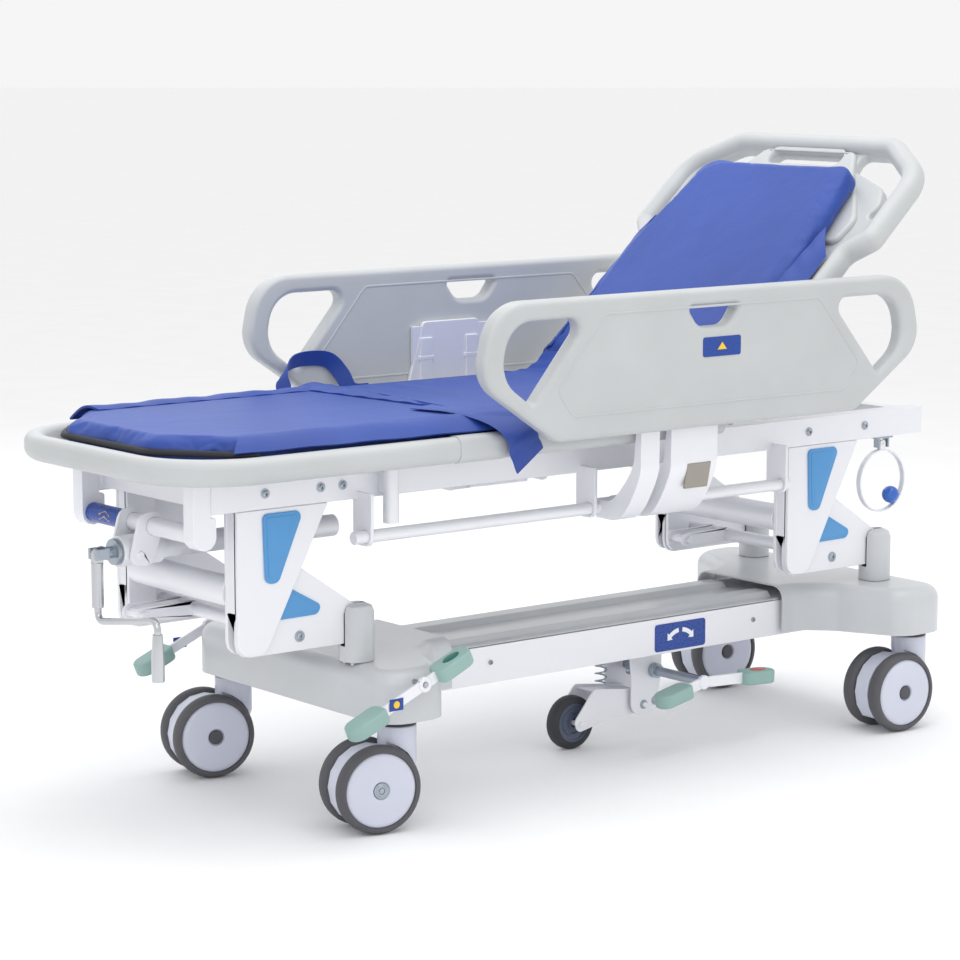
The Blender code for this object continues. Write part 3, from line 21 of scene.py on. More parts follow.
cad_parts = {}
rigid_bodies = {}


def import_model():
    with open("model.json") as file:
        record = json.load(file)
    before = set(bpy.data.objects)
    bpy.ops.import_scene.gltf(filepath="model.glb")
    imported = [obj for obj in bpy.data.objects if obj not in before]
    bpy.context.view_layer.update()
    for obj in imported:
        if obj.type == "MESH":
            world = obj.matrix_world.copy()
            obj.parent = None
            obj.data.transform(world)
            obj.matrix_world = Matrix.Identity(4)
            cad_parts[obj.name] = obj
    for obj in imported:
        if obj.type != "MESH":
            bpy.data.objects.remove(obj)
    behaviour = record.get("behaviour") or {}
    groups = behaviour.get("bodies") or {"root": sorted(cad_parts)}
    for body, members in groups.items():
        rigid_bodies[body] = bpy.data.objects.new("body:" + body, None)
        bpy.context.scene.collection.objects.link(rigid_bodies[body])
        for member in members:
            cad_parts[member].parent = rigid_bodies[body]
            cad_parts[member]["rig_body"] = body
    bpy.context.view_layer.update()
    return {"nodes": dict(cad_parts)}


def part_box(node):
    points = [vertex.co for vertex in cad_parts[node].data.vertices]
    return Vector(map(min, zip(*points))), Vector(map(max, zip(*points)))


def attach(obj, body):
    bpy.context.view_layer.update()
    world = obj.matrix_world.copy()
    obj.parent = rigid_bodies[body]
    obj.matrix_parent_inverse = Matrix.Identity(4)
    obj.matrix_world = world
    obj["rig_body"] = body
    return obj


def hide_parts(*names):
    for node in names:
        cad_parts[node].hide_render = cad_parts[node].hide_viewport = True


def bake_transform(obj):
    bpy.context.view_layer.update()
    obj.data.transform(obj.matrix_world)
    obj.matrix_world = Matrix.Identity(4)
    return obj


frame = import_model()

log = logging.getLogger("cot")

Point = tuple[float, float]
Outline = list[Point]
Colour = tuple[float, float, float, float]

STEM_SHIFT = 0.182
MM = 0.001


class Axis(Enum):
    """The axis that a plate's thickness or a turned piece's height runs along."""

    X = 0
    Y = 1
    Z = 2


class Side(Enum):
    """The two long sides of the cot."""

    NEAR = -1
    FAR = 1

    @property
    def word(self) -> str:
        """The side's name inside a piece name."""
        return self.name.lower()


class End(Enum):
    """The two ends of the cot."""

    FOOT = -1
    HEAD = 1

    @property
    def word(self) -> str:
        """The end's name inside a piece name."""
        return self.name.lower()


# Finishes


def linear(hex_colour: str) -> Colour:
    """Turns an sRGB hex colour into Blender's linear colour.

    Args:
        hex_colour: six hex digits after a hash.

    Returns:
        Red, green, blue and an alpha of one.
    """
    channels = [int(hex_colour[i : i + 2], 16) / 255 for i in (1, 3, 5)]
    low = [c / 12.92 if c <= 0.04045 else ((c + 0.055) / 1.055) ** 2.4 for c in channels]
    return (low[0], low[1], low[2], 1.0)


def add_node(
    tree: bpy.types.NodeTree, kind: str, links: dict[str | int, object] | None = None, **settings: object
) -> bpy.types.Node:
    """Adds a shader node with its settings, values and incoming links.

    Args:
        tree: the material's node tree.
        kind: the node's Blender type name.
        links: an output socket or a constant for each input, by name or number.
        settings: the node's own properties.

    Returns:
        The new node.
    """
    made = tree.nodes.new(kind)
    for key, value in settings.items():
        setattr(made, key, value)
    for key, value in (links or {}).items():
        if isinstance(value, bpy.types.NodeSocket):
            tree.links.new(value, made.inputs[key])
        else:
            made.inputs[key].default_value = value
    return made


@dataclass(frozen=True)
class Finish:
    """A painted or moulded surface: its colour, its gloss and a fine grain."""

    name: str
    slot: str
    colour: str
    shade: str
    roughness: float
    grain_mm: float = 2.0
    relief_mm: float = 0.02
    metallic: float = 0.0
    coat: float = 0.0
    patch_mm: float = 180.0
    tilt_deg: float = 0.0

    def material(self) -> bpy.types.Material:
        """The finish's material, made on first use."""
        found = bpy.data.materials.get(self.name)
        if found:
            return found
        made = bpy.data.materials.new(self.name)
        made.use_nodes = True
        tree = made.node_tree
        shader = tree.nodes["Principled BSDF"]
        shader.inputs["Metallic"].default_value = self.metallic
        shader.inputs["Coat Weight"].default_value = self.coat
        shader.inputs["Coat Roughness"].default_value = 0.12
        made.diffuse_color = linear(self.colour)
        place = add_node(tree, "ShaderNodeTexCoord").outputs["Object"]
        turned = add_node(
            tree,
            "ShaderNodeMapping",
            {"Vector": place, "Rotation": (0.0, math.radians(self.tilt_deg), 0.0)},
        ).outputs["Vector"]
        self.dress(tree, shader, turned)
        return made

    def noise(
        self, tree: bpy.types.NodeTree, place: bpy.types.NodeSocket, size_mm: float, detail: float = 3.0
    ) -> bpy.types.NodeSocket:
        """A noise whose spots are size_mm across.

        Args:
            tree: the material's node tree.
            place: the coordinates that it is read at.
            size_mm: the size of its spots.
            detail: how many finer layers it has.

        Returns:
            The noise's value.
        """
        links = {"Vector": place, "Scale": 1 / (size_mm * MM), "Detail": detail}
        return add_node(tree, "ShaderNodeTexNoise", links).outputs["Fac"]

    def dress(self, tree: bpy.types.NodeTree, shader: bpy.types.Node, place: bpy.types.NodeSocket) -> None:
        """Colour, roughness and relief: soft patches and a fine grain.

        Args:
            tree: the material's node tree.
            shader: its Principled shader.
            place: the coordinates of the patterns.
        """
        patches = self.noise(tree, place, self.patch_mm)
        grain = self.noise(tree, place, self.grain_mm, 2.0)
        ramp = add_node(
            tree,
            "ShaderNodeMapRange",
            {"Value": patches, "From Min": 0.35, "From Max": 0.65},
        ).outputs["Result"]
        mixed = add_node(
            tree,
            "ShaderNodeMix",
            {0: ramp, 6: linear(self.shade), 7: linear(self.colour)},
            data_type="RGBA",
        ).outputs[2]
        tree.links.new(mixed, shader.inputs["Base Color"])
        rough = add_node(
            tree,
            "ShaderNodeMapRange",
            {"Value": grain, "To Min": self.roughness - 0.05, "To Max": self.roughness + 0.06},
        ).outputs["Result"]
        tree.links.new(rough, shader.inputs["Roughness"])
        self.relief(tree, shader, grain, self.relief_mm)

    def relief(
        self, tree: bpy.types.NodeTree, shader: bpy.types.Node, height: bpy.types.NodeSocket, depth_mm: float
    ) -> None:
        """Raises the surface by a pattern.

        Args:
            tree: the material's node tree.
            shader: its Principled shader.
            height: the pattern, from 0 to 1.
            depth_mm: how high the pattern stands.
        """
        links = {"Height": height, "Distance": depth_mm * MM, "Strength": 1.0}
        bump = add_node(tree, "ShaderNodeBump", links).outputs["Normal"]
        tree.links.new(bump, shader.inputs["Normal"])


@dataclass(frozen=True)
class Cloth(Finish):
    """Coated nylon: a plain weave under a thin coating, with soft puckers.

    The coating gives a broad low gloss, and the weave breaks it up. The real thread
    spacing of 0.4 mm is too fine to show, so it is drawn at thread_mm.
    """

    thread_mm: float = 3.2
    pucker_mm: float = 70.0

    def dress(self, tree: bpy.types.NodeTree, shader: bpy.types.Node, place: bpy.types.NodeSocket) -> None:
        """Weave, puckers and sheen.

        Args:
            tree: the material's node tree.
            shader: its Principled shader.
            place: the coordinates of the patterns.
        """
        Finish.dress(self, tree, shader, place)
        threads = []
        for direction in ("X", "Y"):
            # A wave's bands repeat every 1 / (scale * 20 / 2 pi) of a metre.
            links = {"Vector": place, "Scale": math.tau / 20 / (self.thread_mm * MM), "Distortion": 0.6}
            wave = add_node(tree, "ShaderNodeTexWave", links, bands_direction=direction)
            threads.append(wave.outputs["Fac"])
        weave = add_node(
            tree, "ShaderNodeMath", {0: threads[0], 1: threads[1]}, operation="MULTIPLY"
        ).outputs[0]
        puckers = self.noise(tree, place, self.pucker_mm, 2.0)
        whole = add_node(
            tree,
            "ShaderNodeMath",
            {0: puckers, 1: 14.0, 2: weave},
            operation="MULTIPLY_ADD",
        ).outputs[0]
        self.relief(tree, shader, whole, 0.16)
        shader.inputs["Sheen Weight"].default_value = 0.25
        shader.inputs["Sheen Roughness"].default_value = 0.45
        shader.inputs["Sheen Tint"].default_value = linear("#7F9BEA")


@dataclass(frozen=True)
class Brushed(Finish):
    """Rolled or brushed steel: fine lines along X that stretch the highlights."""

    def dress(self, tree: bpy.types.NodeTree, shader: bpy.types.Node, place: bpy.types.NodeSocket) -> None:
        """Stretched grain.

        Args:
            tree: the material's node tree.
            shader: its Principled shader.
            place: the coordinates of the patterns.
        """
        stretched = add_node(
            tree, "ShaderNodeMapping", {"Vector": place, "Scale": (0.04, 1.0, 1.0)}
        ).outputs["Vector"]
        Finish.dress(self, tree, shader, stretched)


# Polyester powder on steel: cool white, with the faint orange peel of a baked coat.
POWDER = Finish("white_powder_coat", "white_powder_coat", "#C9D1DC", "#C2CBD6", 0.34, 2.2, 0.03, coat=0.15)
# Blow-moulded polyethylene: warm pale grey, a soft sheen and a fine mould texture.
MOULDED = Finish("moulded_rail_plastic", "warm_grey_plastic", "#C2C5C6", "#BCBFC0", 0.42, 1.6, 0.025)
# Vacuum-formed ABS of the base: paler and glossier than the rails.
FORMED = Finish("formed_base_plastic", "warm_grey_plastic", "#CACDD0", "#C4C7CA", 0.30, 3.0, 0.02, coat=0.2)
# Nylon castor discs: lilac white and smooth.
DISC = Finish("castor_disc_nylon", "castor_white", "#D2D5E4", "#CCCFDE", 0.30, 2.5, 0.012)
# Polyurethane tyre: mid grey, nearly matt.
TYRE = Finish("castor_tyre", "tyre_grey", "#5A5A5E", "#525256", 0.62, 1.2, 0.03)
# Cap of the castor bearing, moulded in darker grey.
CAP_GREY = Finish("castor_cap", "tyre_grey", "#505158", "#4A4B52", 0.45, 1.4, 0.02)
# Solid rubber of the steering wheel: almost black, with a blue-grey web.
RUBBER = Finish("steering_rubber", "tyre_grey", "#2B2D33", "#33353B", 0.58, 1.2, 0.03)
WEB = Finish("steering_web", "tyre_grey", "#5B6377", "#525A6E", 0.45, 1.4, 0.02)
# Sky-blue ABS inserts of the leg and arm plates.
SKY = Finish("sky_insert", "ball_blue", "#559AD3", "#4F93CC", 0.36, 2.0, 0.02)
# The ball on the ring: glossy blue plastic.
BALL = Finish("ball_plastic", "ball_blue", "#2F68C4", "#2A60BA", 0.22, 2.0, 0.01, coat=0.3)
CHROME = Finish("polished_chrome", "chrome", "#C9CBCE", "#BFC1C5", 0.14, 2.0, 0.008, metallic=1.0)
ZINC = Brushed("zinc_plate", "zinc_steel", "#B4BCC4", "#A3ACB6", 0.32, 1.4, 0.03, metallic=1.0)
STEEL = Brushed("brushed_plate", "zinc_steel", "#A9A49C", "#98938B", 0.38, 1.0, 0.03, metallic=1.0)
# A dark grey that stands for the shadow in the gap between a castor's collar and the base cover: painted shade.
GAP_SHADE = Finish("dark_gap", "tyre_grey", "#3A3C40", "#303236", 0.55, 2.0, 0.02)
ZIP = Finish("zip_tape", "royal_blue_fabric", "#14161D", "#1B1E28", 0.60, 1.6, 0.08)
LABEL = Finish("label_blue", "ball_blue", "#17439A", "#153E90", 0.28, 3.0, 0.01)
YELLOW = Finish("label_yellow", "ball_blue", "#F5CB2E", "#F0C427", 0.30, 3.0, 0.01)
WHITE = Finish("label_white", "pedal_white", "#F3F4F6", "#EDEEF1", 0.30, 3.0, 0.01)
# Ribbed rubber pads of the pedals: pale grey-green.
PAD = Finish("pedal_pad", "pedal_white", "#93B3AE", "#89A9A4", 0.50, 1.6, 0.04)
RED = Finish("pedal_red", "pedal_white", "#D8524C", "#CC4843", 0.38, 2.0, 0.02)
GREEN = Finish("pedal_green", "pedal_white", "#1F6A62", "#1B6159", 0.38, 2.0, 0.02)
ROYAL = Cloth("royal_cloth", "royal_blue_fabric", "#26489F", "#204093", 0.52, 2.0, 0.02, patch_mm=240.0)
ROYAL_BACK = Cloth(
    "royal_cloth_back", "royal_blue_fabric", "#26489F", "#204093", 0.52, 2.0, 0.02, patch_mm=240.0,
    tilt_deg=43.0,
)


# Outlines


def arc(centre: Point, radius: float, start: float, end: float, steps: int) -> Outline:
    """Points on an arc, with angles in degrees and both ends included."""
    angles = [math.radians(start + (end - start) * i / steps) for i in range(steps + 1)]
    return [(centre[0] + radius * math.cos(a), centre[1] + radius * math.sin(a)) for a in angles]


def circle(centre: Point, radius: float, steps: int = 48) -> Outline:
    """A full circle of steps points."""
    return arc(centre, radius, 0, 360, steps)[:-1]


def rounded(corners: Sequence[tuple[float, float, float]], steps: int = 8) -> Outline:
    """The outline through (x, y, radius) corners, each rounded with its own radius.

    Args:
        corners: the corners in order.
        steps: how many edges each rounded corner has.

    Returns:
        The outline's points.
    """
    points: Outline = []
    for i, (x, y, radius) in enumerate(corners):
        corner = Vector((x, y))
        if radius <= 0:
            points.append((x, y))
            continue
        before = Vector(corners[i - 1][:2]) - corner
        after = Vector(corners[(i + 1) % len(corners)][:2]) - corner
        half = before.angle(after) / 2
        reach = min(radius / math.tan(half), 0.49 * before.length, 0.49 * after.length)
        start = corner + before.normalized() * reach
        end = corner + after.normalized() * reach
        middle = (before.normalized() + after.normalized()).normalized()
        centre = corner + middle * (reach * math.tan(half) / math.sin(half))
        first = start - centre
        sweep = first.angle_signed(end - centre)
        for step in range(steps + 1):
            point = centre + Matrix.Rotation(-sweep * step / steps, 2) @ first
            points.append((point.x, point.y))
    return points


def rectangle(low: Point, high: Point, radius: float = 0.0, steps: int = 6) -> Outline:
    """A rectangle with rounded corners."""
    corners = [(low[0], low[1]), (high[0], low[1]), (high[0], high[1]), (low[0], high[1])]
    return rounded([(x, y, radius) for x, y in corners], steps)


def inset(outline: Outline, distance: float) -> Outline:
    """Moves each point of an outline inwards, whichever way round it runs.

    Args:
        outline: a closed outline.
        distance: how far each side moves in, or out where it is below zero.

    Returns:
        As many points as the outline has.
    """
    area = sum(a[0] * b[1] - b[0] * a[1] for a, b in zip(outline, outline[1:] + outline[:1]))
    sign = 1 if area > 0 else -1
    moved: Outline = []
    for i, point in enumerate(outline):
        here = Vector(point)
        before = (here - Vector(outline[i - 1])).normalized()
        after = (Vector(outline[(i + 1) % len(outline)]) - here).normalized()
        normal = Vector((-before.y - after.y, before.x + after.x)).normalized()
        stretch = 1 / max(0.35, normal.dot(Vector((-before.y, before.x))))
        moved.append(tuple(here + normal * distance * sign * stretch))
    return moved


def encloses(outline: Outline, point: Sequence[float]) -> bool:
    """Whether a point is inside an outline."""
    crossings = 0
    for (x0, y0), (x1, y1) in zip(outline, outline[1:] + outline[:1]):
        if (y0 > point[1]) != (y1 > point[1]):
            crossings += point[0] < x0 + (x1 - x0) * (point[1] - y0) / (y1 - y0)
    return crossings % 2 == 1


def smooth_line(points: Sequence[Sequence[float]], steps: int = 6) -> list[Vector]:
    """A smooth line through points, as a Catmull-Rom curve.

    Args:
        points: the points that it goes through.
        steps: how many edges it has between two points.

    Returns:
        The line's points.
    """
    knots = [Vector(p) for p in points]
    knots = [2 * knots[0] - knots[1], *knots, 2 * knots[-1] - knots[-2]]
    line = []
    for a, b, c, d in zip(knots, knots[1:], knots[2:], knots[3:]):
        for step in range(steps):
            t = step / steps
            line.append(
                0.5 * (
                    2 * b + (c - a) * t + (2 * a - 5 * b + 4 * c - d) * t**2 + (3 * b - a - 3 * c + d) * t**3
                )
            )
    return [*line, knots[-2]]


def in_space(axis: Axis, first: float, second: float, height: float) -> Vector:
    """A point from two coordinates in a plane and a height along the plane's axis."""
    if axis is Axis.X:
        return Vector((height, first, second))
    if axis is Axis.Y:
        return Vector((first, height, second))
    return Vector((first, second, height))


def round_over(radius: float, low: float, high: float, steps: int = 5) -> list[Point]:
    """(inset, height) levels of a slab whose two edges are rounded.

    Args:
        radius: the radius of both edges.
        low: the height of the lower face.
        high: the height of the upper face.
        steps: how many edges each rounding has.

    Returns:
        The levels from the lower face to the upper.
    """
    quarter = [math.radians(90 * i / steps) for i in range(steps + 1)]
    lower = [(radius * (1 - math.sin(a)), low + radius * (1 - math.cos(a))) for a in quarter]
    upper = [(radius * (1 - math.cos(a)), high - radius * (1 - math.sin(a))) for a in quarter]
    return lower + upper


# Shapes


class Shape:
    """A piece while it is modelled, before it becomes an object."""

    def __init__(self, shift: float = STEM_SHIFT) -> None:
        """Starts an empty shape.

        Args:
            shift: how far the finished mesh moves along X into the CAD's frame.
        """
        self.mesh = bmesh.new()
        self.shift = shift

    @classmethod
    def of_node(cls, *nodes: str) -> Shape:
        """A merged copy of CAD nodes, with their flat faces made whole again."""
        shape = cls(0.0)
        for name in nodes:
            shape.mesh.from_mesh(frame["nodes"][name].data)
        bmesh.ops.remove_doubles(shape.mesh, verts=shape.mesh.verts, dist=1e-5)
        bmesh.ops.dissolve_limit(
            shape.mesh,
            angle_limit=math.radians(0.6),
            use_dissolve_boundaries=False,
            verts=shape.mesh.verts,
            edges=shape.mesh.edges,
        )
        return shape

    def ring(self, points: Iterable[Sequence[float]]) -> list[bmesh.types.BMEdge]:
        """A closed loop of edges through points."""
        verts = [self.mesh.verts.new(p) for p in points]
        return [self.mesh.edges.new((verts[i - 1], verts[i])) for i in range(len(verts))]

    def skin(
        self, loops: Sequence[Sequence[Sequence[float]]], caps: bool = True, closed: bool = False
    ) -> Shape:
        """A skin over a row of loops of equally many points.

        Args:
            loops: the loops in order.
            caps: whether the two end loops are filled.
            closed: whether the last loop joins the first.

        Returns:
            The shape itself.
        """
        part = bmesh.new()
        own, self.mesh = self.mesh, part
        rings = [self.ring(loop) for loop in loops]
        pairs = list(zip(rings, rings[1:])) + ([(rings[-1], rings[0])] if closed else [])
        for one, two in pairs:
            bmesh.ops.bridge_loops(part, edges=one + two)
        if caps and not closed:
            for ring in (rings[0], rings[-1]):
                bmesh.ops.contextual_create(part, geom=ring)
        bmesh.ops.recalc_face_normals(part, faces=part.faces)
        self.mesh = own
        return self.take(part)

    def take(self, part: bmesh.types.BMesh) -> Shape:
        """Adds another bmesh to this shape and frees it."""
        passing = bpy.data.meshes.new("passing")
        part.to_mesh(passing)
        part.free()
        self.mesh.from_mesh(passing)
        bpy.data.meshes.remove(passing)
        return self

    def plate(
        self,
        outline: Outline,
        low: float,
        high: float,
        axis: Axis = Axis.Z,
        holes: Sequence[Outline] = (),
        edge: float = 0.0,
        edge_steps: int = 2,
    ) -> Shape:
        """A slab with rounded edges and with holes through it.

        Args:
            outline: the slab's outline.
            low: the height of one face.
            high: the height of the other.
            axis: the axis across the slab.
            holes: outlines of the holes.
            edge: the radius of every edge between a face and a side.
            edge_steps: how many edges each rounding has.

        Returns:
            The shape itself.
        """
        part = bmesh.new()
        own, self.mesh = self.mesh, part
        low, high = sorted((low, high))
        levels = round_over(edge, low, high, edge_steps) if edge else [(0.0, low), (0.0, high)]
        firsts, lasts, flats = [], [], []
        for loop, sign in [(outline, 1), *((h, -1) for h in holes)]:
            rings = []
            for depth, height in levels:
                moved = inset(loop, depth * sign) if depth else loop
                rings.append(self.ring(in_space(axis, a, b, height) for a, b in moved))
            for one, two in zip(rings, rings[1:]):
                bmesh.ops.bridge_loops(part, edges=one + two)
            firsts.append(rings[0])
            lasts.append(rings[-1])
            flats.append(moved)
        for ends in (firsts, lasts):
            self.close(part, ends, flats)
        bmesh.ops.recalc_face_normals(part, faces=part.faces)
        self.mesh = own
        return self.take(part)

    @staticmethod
    def close(
        part: bmesh.types.BMesh, rings: Sequence[list[bmesh.types.BMEdge]], flat: Sequence[Outline]
    ) -> None:
        """Fills the flat face inside the first ring and outside all the others.

        Args:
            part: the mesh that holds the rings.
            rings: the edges of each ring.
            flat: the same rings as outlines in the face's plane.
        """
        if len(rings) == 1:
            bmesh.ops.contextual_create(part, geom=rings[0])
            return
        corners = [edge.verts[1] for ring in rings for edge in ring]
        points = [Vector(point) for outline in flat for point in outline]
        sides, first = [], 0
        for outline in flat:
            count = len(outline)
            sides += [(first + i, first + (i + 1) % count) for i in range(count)]
            first += count
        places, _, faces, sources, _, _ = delaunay_2d_cdt(points, sides, [], 1, 1e-7)
        for face in faces:
            middle = sum((places[i] for i in face), Vector((0, 0))) / len(face)
            if sum(encloses(outline, middle) for outline in flat) % 2 and all(sources[i] for i in face):
                part.faces.new([corners[sources[i][0]] for i in face])

    def turn_profile(
        self, profile: Sequence[Point], place: Sequence[float], axis: Axis = Axis.Z, steps: int = 56
    ) -> Shape:
        """A turned piece.

        Args:
            profile: (radius, height) points; a profile that doesn't end on the axis is
                joined to its own start.
            place: a point on the axis, from which heights count.
            axis: the axis.
            steps: how many sides it has.

        Returns:
            The shape itself.
        """
        part = bmesh.new()
        verts = [part.verts.new(in_space(axis, r, 0.0, h)) for r, h in profile]
        edges = [part.edges.new(pair) for pair in zip(verts, verts[1:])]
        if profile[0][0] > 0 or profile[-1][0] > 0:
            edges.append(part.edges.new((verts[-1], verts[0])))
        direction = in_space(axis, 0, 0, 1)
        bmesh.ops.spin(
            part,
            geom=verts + edges,
            cent=(0, 0, 0),
            axis=direction,
            angle=math.tau,
            steps=steps,
            use_merge=True,
            use_duplicate=False,
        )
        bmesh.ops.remove_doubles(part, verts=part.verts, dist=1e-6)
        bmesh.ops.recalc_face_normals(part, faces=part.faces)
        bmesh.ops.translate(part, vec=Vector(place), verts=part.verts)
        return self.take(part)

    def pipe(
        self,
        path: Sequence[Sequence[float]],
        radius: float,
        sides: int = 20,
        flat: float = 1.0,
        closed: bool = False,
    ) -> Shape:
        """A round or oval bar along a path.

        Args:
            path: the bar's centre line.
            radius: its radius.
            sides: how many sides it has.
            flat: its thickness as a share of its width.
            closed: whether the path runs back into its start.

        Returns:
            The shape itself.
        """
        line = [Vector(p) for p in path]
        side = (line[1] - line[0]).orthogonal().normalized()
        loops = []
        for i, point in enumerate(line):
            after = line[(i + 1) % len(line)] if closed or i + 1 < len(line) else point
            before = line[i - 1] if closed or i else point
            ahead = (after - before).normalized()
            side = (side - ahead * side.dot(ahead)).normalized()
            other = ahead.cross(side)
            loops.append([point + side * a + other * (b * flat) for a, b in circle((0, 0), radius, sides)])
        return self.skin(loops, closed=closed)

    def sweep(self, path: Sequence[Point], section: Sequence[Point], closed: bool = False) -> Shape:
        """A section carried along a path that lies flat.

        Args:
            path: (x, y) points, with the outside on the path's right.
            section: (outwards, z) points of the closed section.
            closed: whether the path runs back into its start.

        Returns:
            The shape itself.
        """
        loops = []
        count = len(path)
        for i, point in enumerate(path):
            here = Vector(point)
            after = (Vector(path[(i + 1) % count]) - here) if closed or i + 1 < count else None
            before = (here - Vector(path[i - 1])) if closed or i else None
            ahead, back = (after or before).normalized(), (before or after).normalized()
            normal = Vector((ahead.y + back.y, -ahead.x - back.x)).normalized()
            stretch = 1 / max(0.4, normal.dot(Vector((ahead.y, -ahead.x))))
            loops.append([(*(here + normal * out * stretch), z) for out, z in section])
        return self.skin(loops, closed=closed)

    def block(self, low: Sequence[float], high: Sequence[float], edge: float = 0.0) -> Shape:
        """A block between two corners, with rounded edges."""
        low, high = Vector(map(min, low, high)), Vector(map(max, low, high))
        part = bmesh.new()
        bmesh.ops.create_cube(part, size=1.0)
        bmesh.ops.scale(part, vec=high - low, verts=part.verts)
        bmesh.ops.translate(part, vec=(low + high) / 2, verts=part.verts)
        if edge:
            bmesh.ops.bevel(
                part, geom=part.edges[:], offset=edge, segments=3, profile=0.5, affect="EDGES", material=-1
            )
        return self.take(part)

    def bar(
        self, start: Sequence[float], end: Sequence[float], radius: float, sides: int = 40,
        edge: float = 0.001,
    ) -> Shape:
        """A round bar with its end edges taken off."""
        start, end = Vector(start), Vector(end)
        length = (end - start).length
        part = bmesh.new()
        bmesh.ops.create_cone(
            part, cap_ends=True, segments=sides, radius1=radius, radius2=radius, depth=length
        )
        if edge:
            rims = [e for e in part.edges if e.calc_face_angle(0) > math.radians(60)]
            bmesh.ops.bevel(
                part, geom=rims, offset=edge, segments=2, profile=0.5, affect="EDGES", material=-1
            )
        turn = (end - start).to_track_quat("Z", "Y").to_matrix().to_4x4()
        bmesh.ops.transform(part, matrix=Matrix.Translation((start + end) / 2) @ turn, verts=part.verts)
        return self.take(part)

    def break_edges(self, width: float, angle: float = 32.0, segments: int = 2) -> Shape:
        """Rounds every edge that is sharper than an angle, in degrees."""
        limit = math.radians(angle)
        sharp = [e for e in self.mesh.edges if len(e.link_faces) == 2 and e.calc_face_angle(0) > limit]
        if sharp:
            bmesh.ops.bevel(
                self.mesh,
                geom=sharp,
                offset=width,
                segments=segments,
                profile=0.5,
                affect="EDGES",
                clamp_overlap=False,
                material=-1,
            )
        return self

    def moved(self, matrix: Matrix) -> Shape:
        """Carries the whole shape by a matrix."""
        bmesh.ops.transform(self.mesh, matrix=matrix, verts=self.mesh.verts)
        return self

    def turned(self, degrees: float, axis: str, about: Sequence[float]) -> Shape:
        """Turns the whole shape about an axis through a point."""
        about = Vector(about)
        turn = Matrix.Rotation(math.radians(degrees), 4, axis)
        return self.moved(Matrix.Translation(about) @ turn @ Matrix.Translation(-about))

    def make(
        self,
        name: str,
        body: str,
        finish: Finish,
        replaced: Sequence[str] = (),
        smooth: float = 38.0,
        weighted: bool = True,
    ) -> bpy.types.Object:
        """Makes the shape an object that rides on a CAD body.

        Args:
            name: the piece's name.
            body: the CAD body that it moves with.
            finish: its surface.
            replaced: the CAD nodes that it stands for.
            smooth: the angle in degrees above which an edge stays sharp.
            weighted: whether large flat faces keep their shading flat.

        Returns:
            The new object.
        """
        bmesh.ops.translate(self.mesh, vec=(self.shift, 0, 0), verts=self.mesh.verts)
        mesh = bpy.data.meshes.new(name)
        self.mesh.to_mesh(mesh)
        self.mesh.free()
        mesh.shade_smooth()
        mesh.set_sharp_from_angle(angle=math.radians(smooth))
        mesh.materials.append(finish.material())
        piece = bpy.data.objects.new(name, mesh)
        bpy.context.scene.collection.objects.link(piece)
        if weighted:
            piece.modifiers.new("face_weight", "WEIGHTED_NORMAL").keep_sharp = True
        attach(piece, body)
        if replaced:
            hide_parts(*replaced)
        log.info("%s on %s", name, body)
        return piece


def dressed_copy(name: str, node: str, body: str, finish: Finish, edge: float = 0.0008) -> bpy.types.Object:
    """A CAD node's own shape with its sharp edges rounded.

    Args:
        name: the piece's name.
        node: the CAD node.
        body: the body that the node is on.
        finish: the piece's surface.
        edge: the radius of its edges.

    Returns:
        The new object.
    """
    shape = Shape.of_node(node)
    if edge:
        shape.break_edges(edge)
    return shape.make(name, body, finish, [node])


def bolt_head(place: Sequence[float], outwards: Side, size: float = 0.0065) -> Shape:
    """A domed socket screw in its washer, seen from the side of the cot.

    Args:
        place: the middle of its seat.
        outwards: the side that it faces.
        size: the radius of its head.

    Returns:
        The shape.
    """
    s = outwards.value
    shape = Shape()
    dome = [
        (size * 0.42, 0.0),
        (size * 0.42, s * 0.0042),
        (size * 0.62, s * 0.0046),
        (size * 0.9, s * 0.0034),
        (size, s * 0.0016),
        (size * 1.32, s * 0.0014),
        (size * 1.36, 0.0),
    ]
    shape.turn_profile(dome, place, Axis.Y, 28)
    x, y, z = place
    shape.plate(circle((x, z), size * 0.43, 6), y, y + s * 0.0016, Axis.Y)
    return shape


def arrow_label(centre: Point, size: Point, face: float, axis: Axis, sign: int) -> tuple[Shape, Shape]:
    """A thin plate and the plain arrow head that stands on it.

    Args:
        centre: the middle of the plate in its plane.
        size: its width and height.
        face: the height of the surface that it sticks to.
        axis: the axis that it faces along.
        sign: which way it faces.

    Returns:
        The plate and the arrow head.
    """
    (u, v), (w, h) = centre, (size[0] / 2, size[1] / 2)
    plate = Shape().plate(
        rectangle((u - w, v - h), (u + w, v + h), h * 0.25), face, face + sign * 0.0009, axis
    )
    tip = [(u - h * 0.62, v - h * 0.32), (u + h * 0.62, v - h * 0.32), (u, v + h * 0.42)]
    head = Shape().plate(tip, face + sign * 0.0008, face + sign * 0.0014, axis)
    return plate, head


# Sub-assemblies


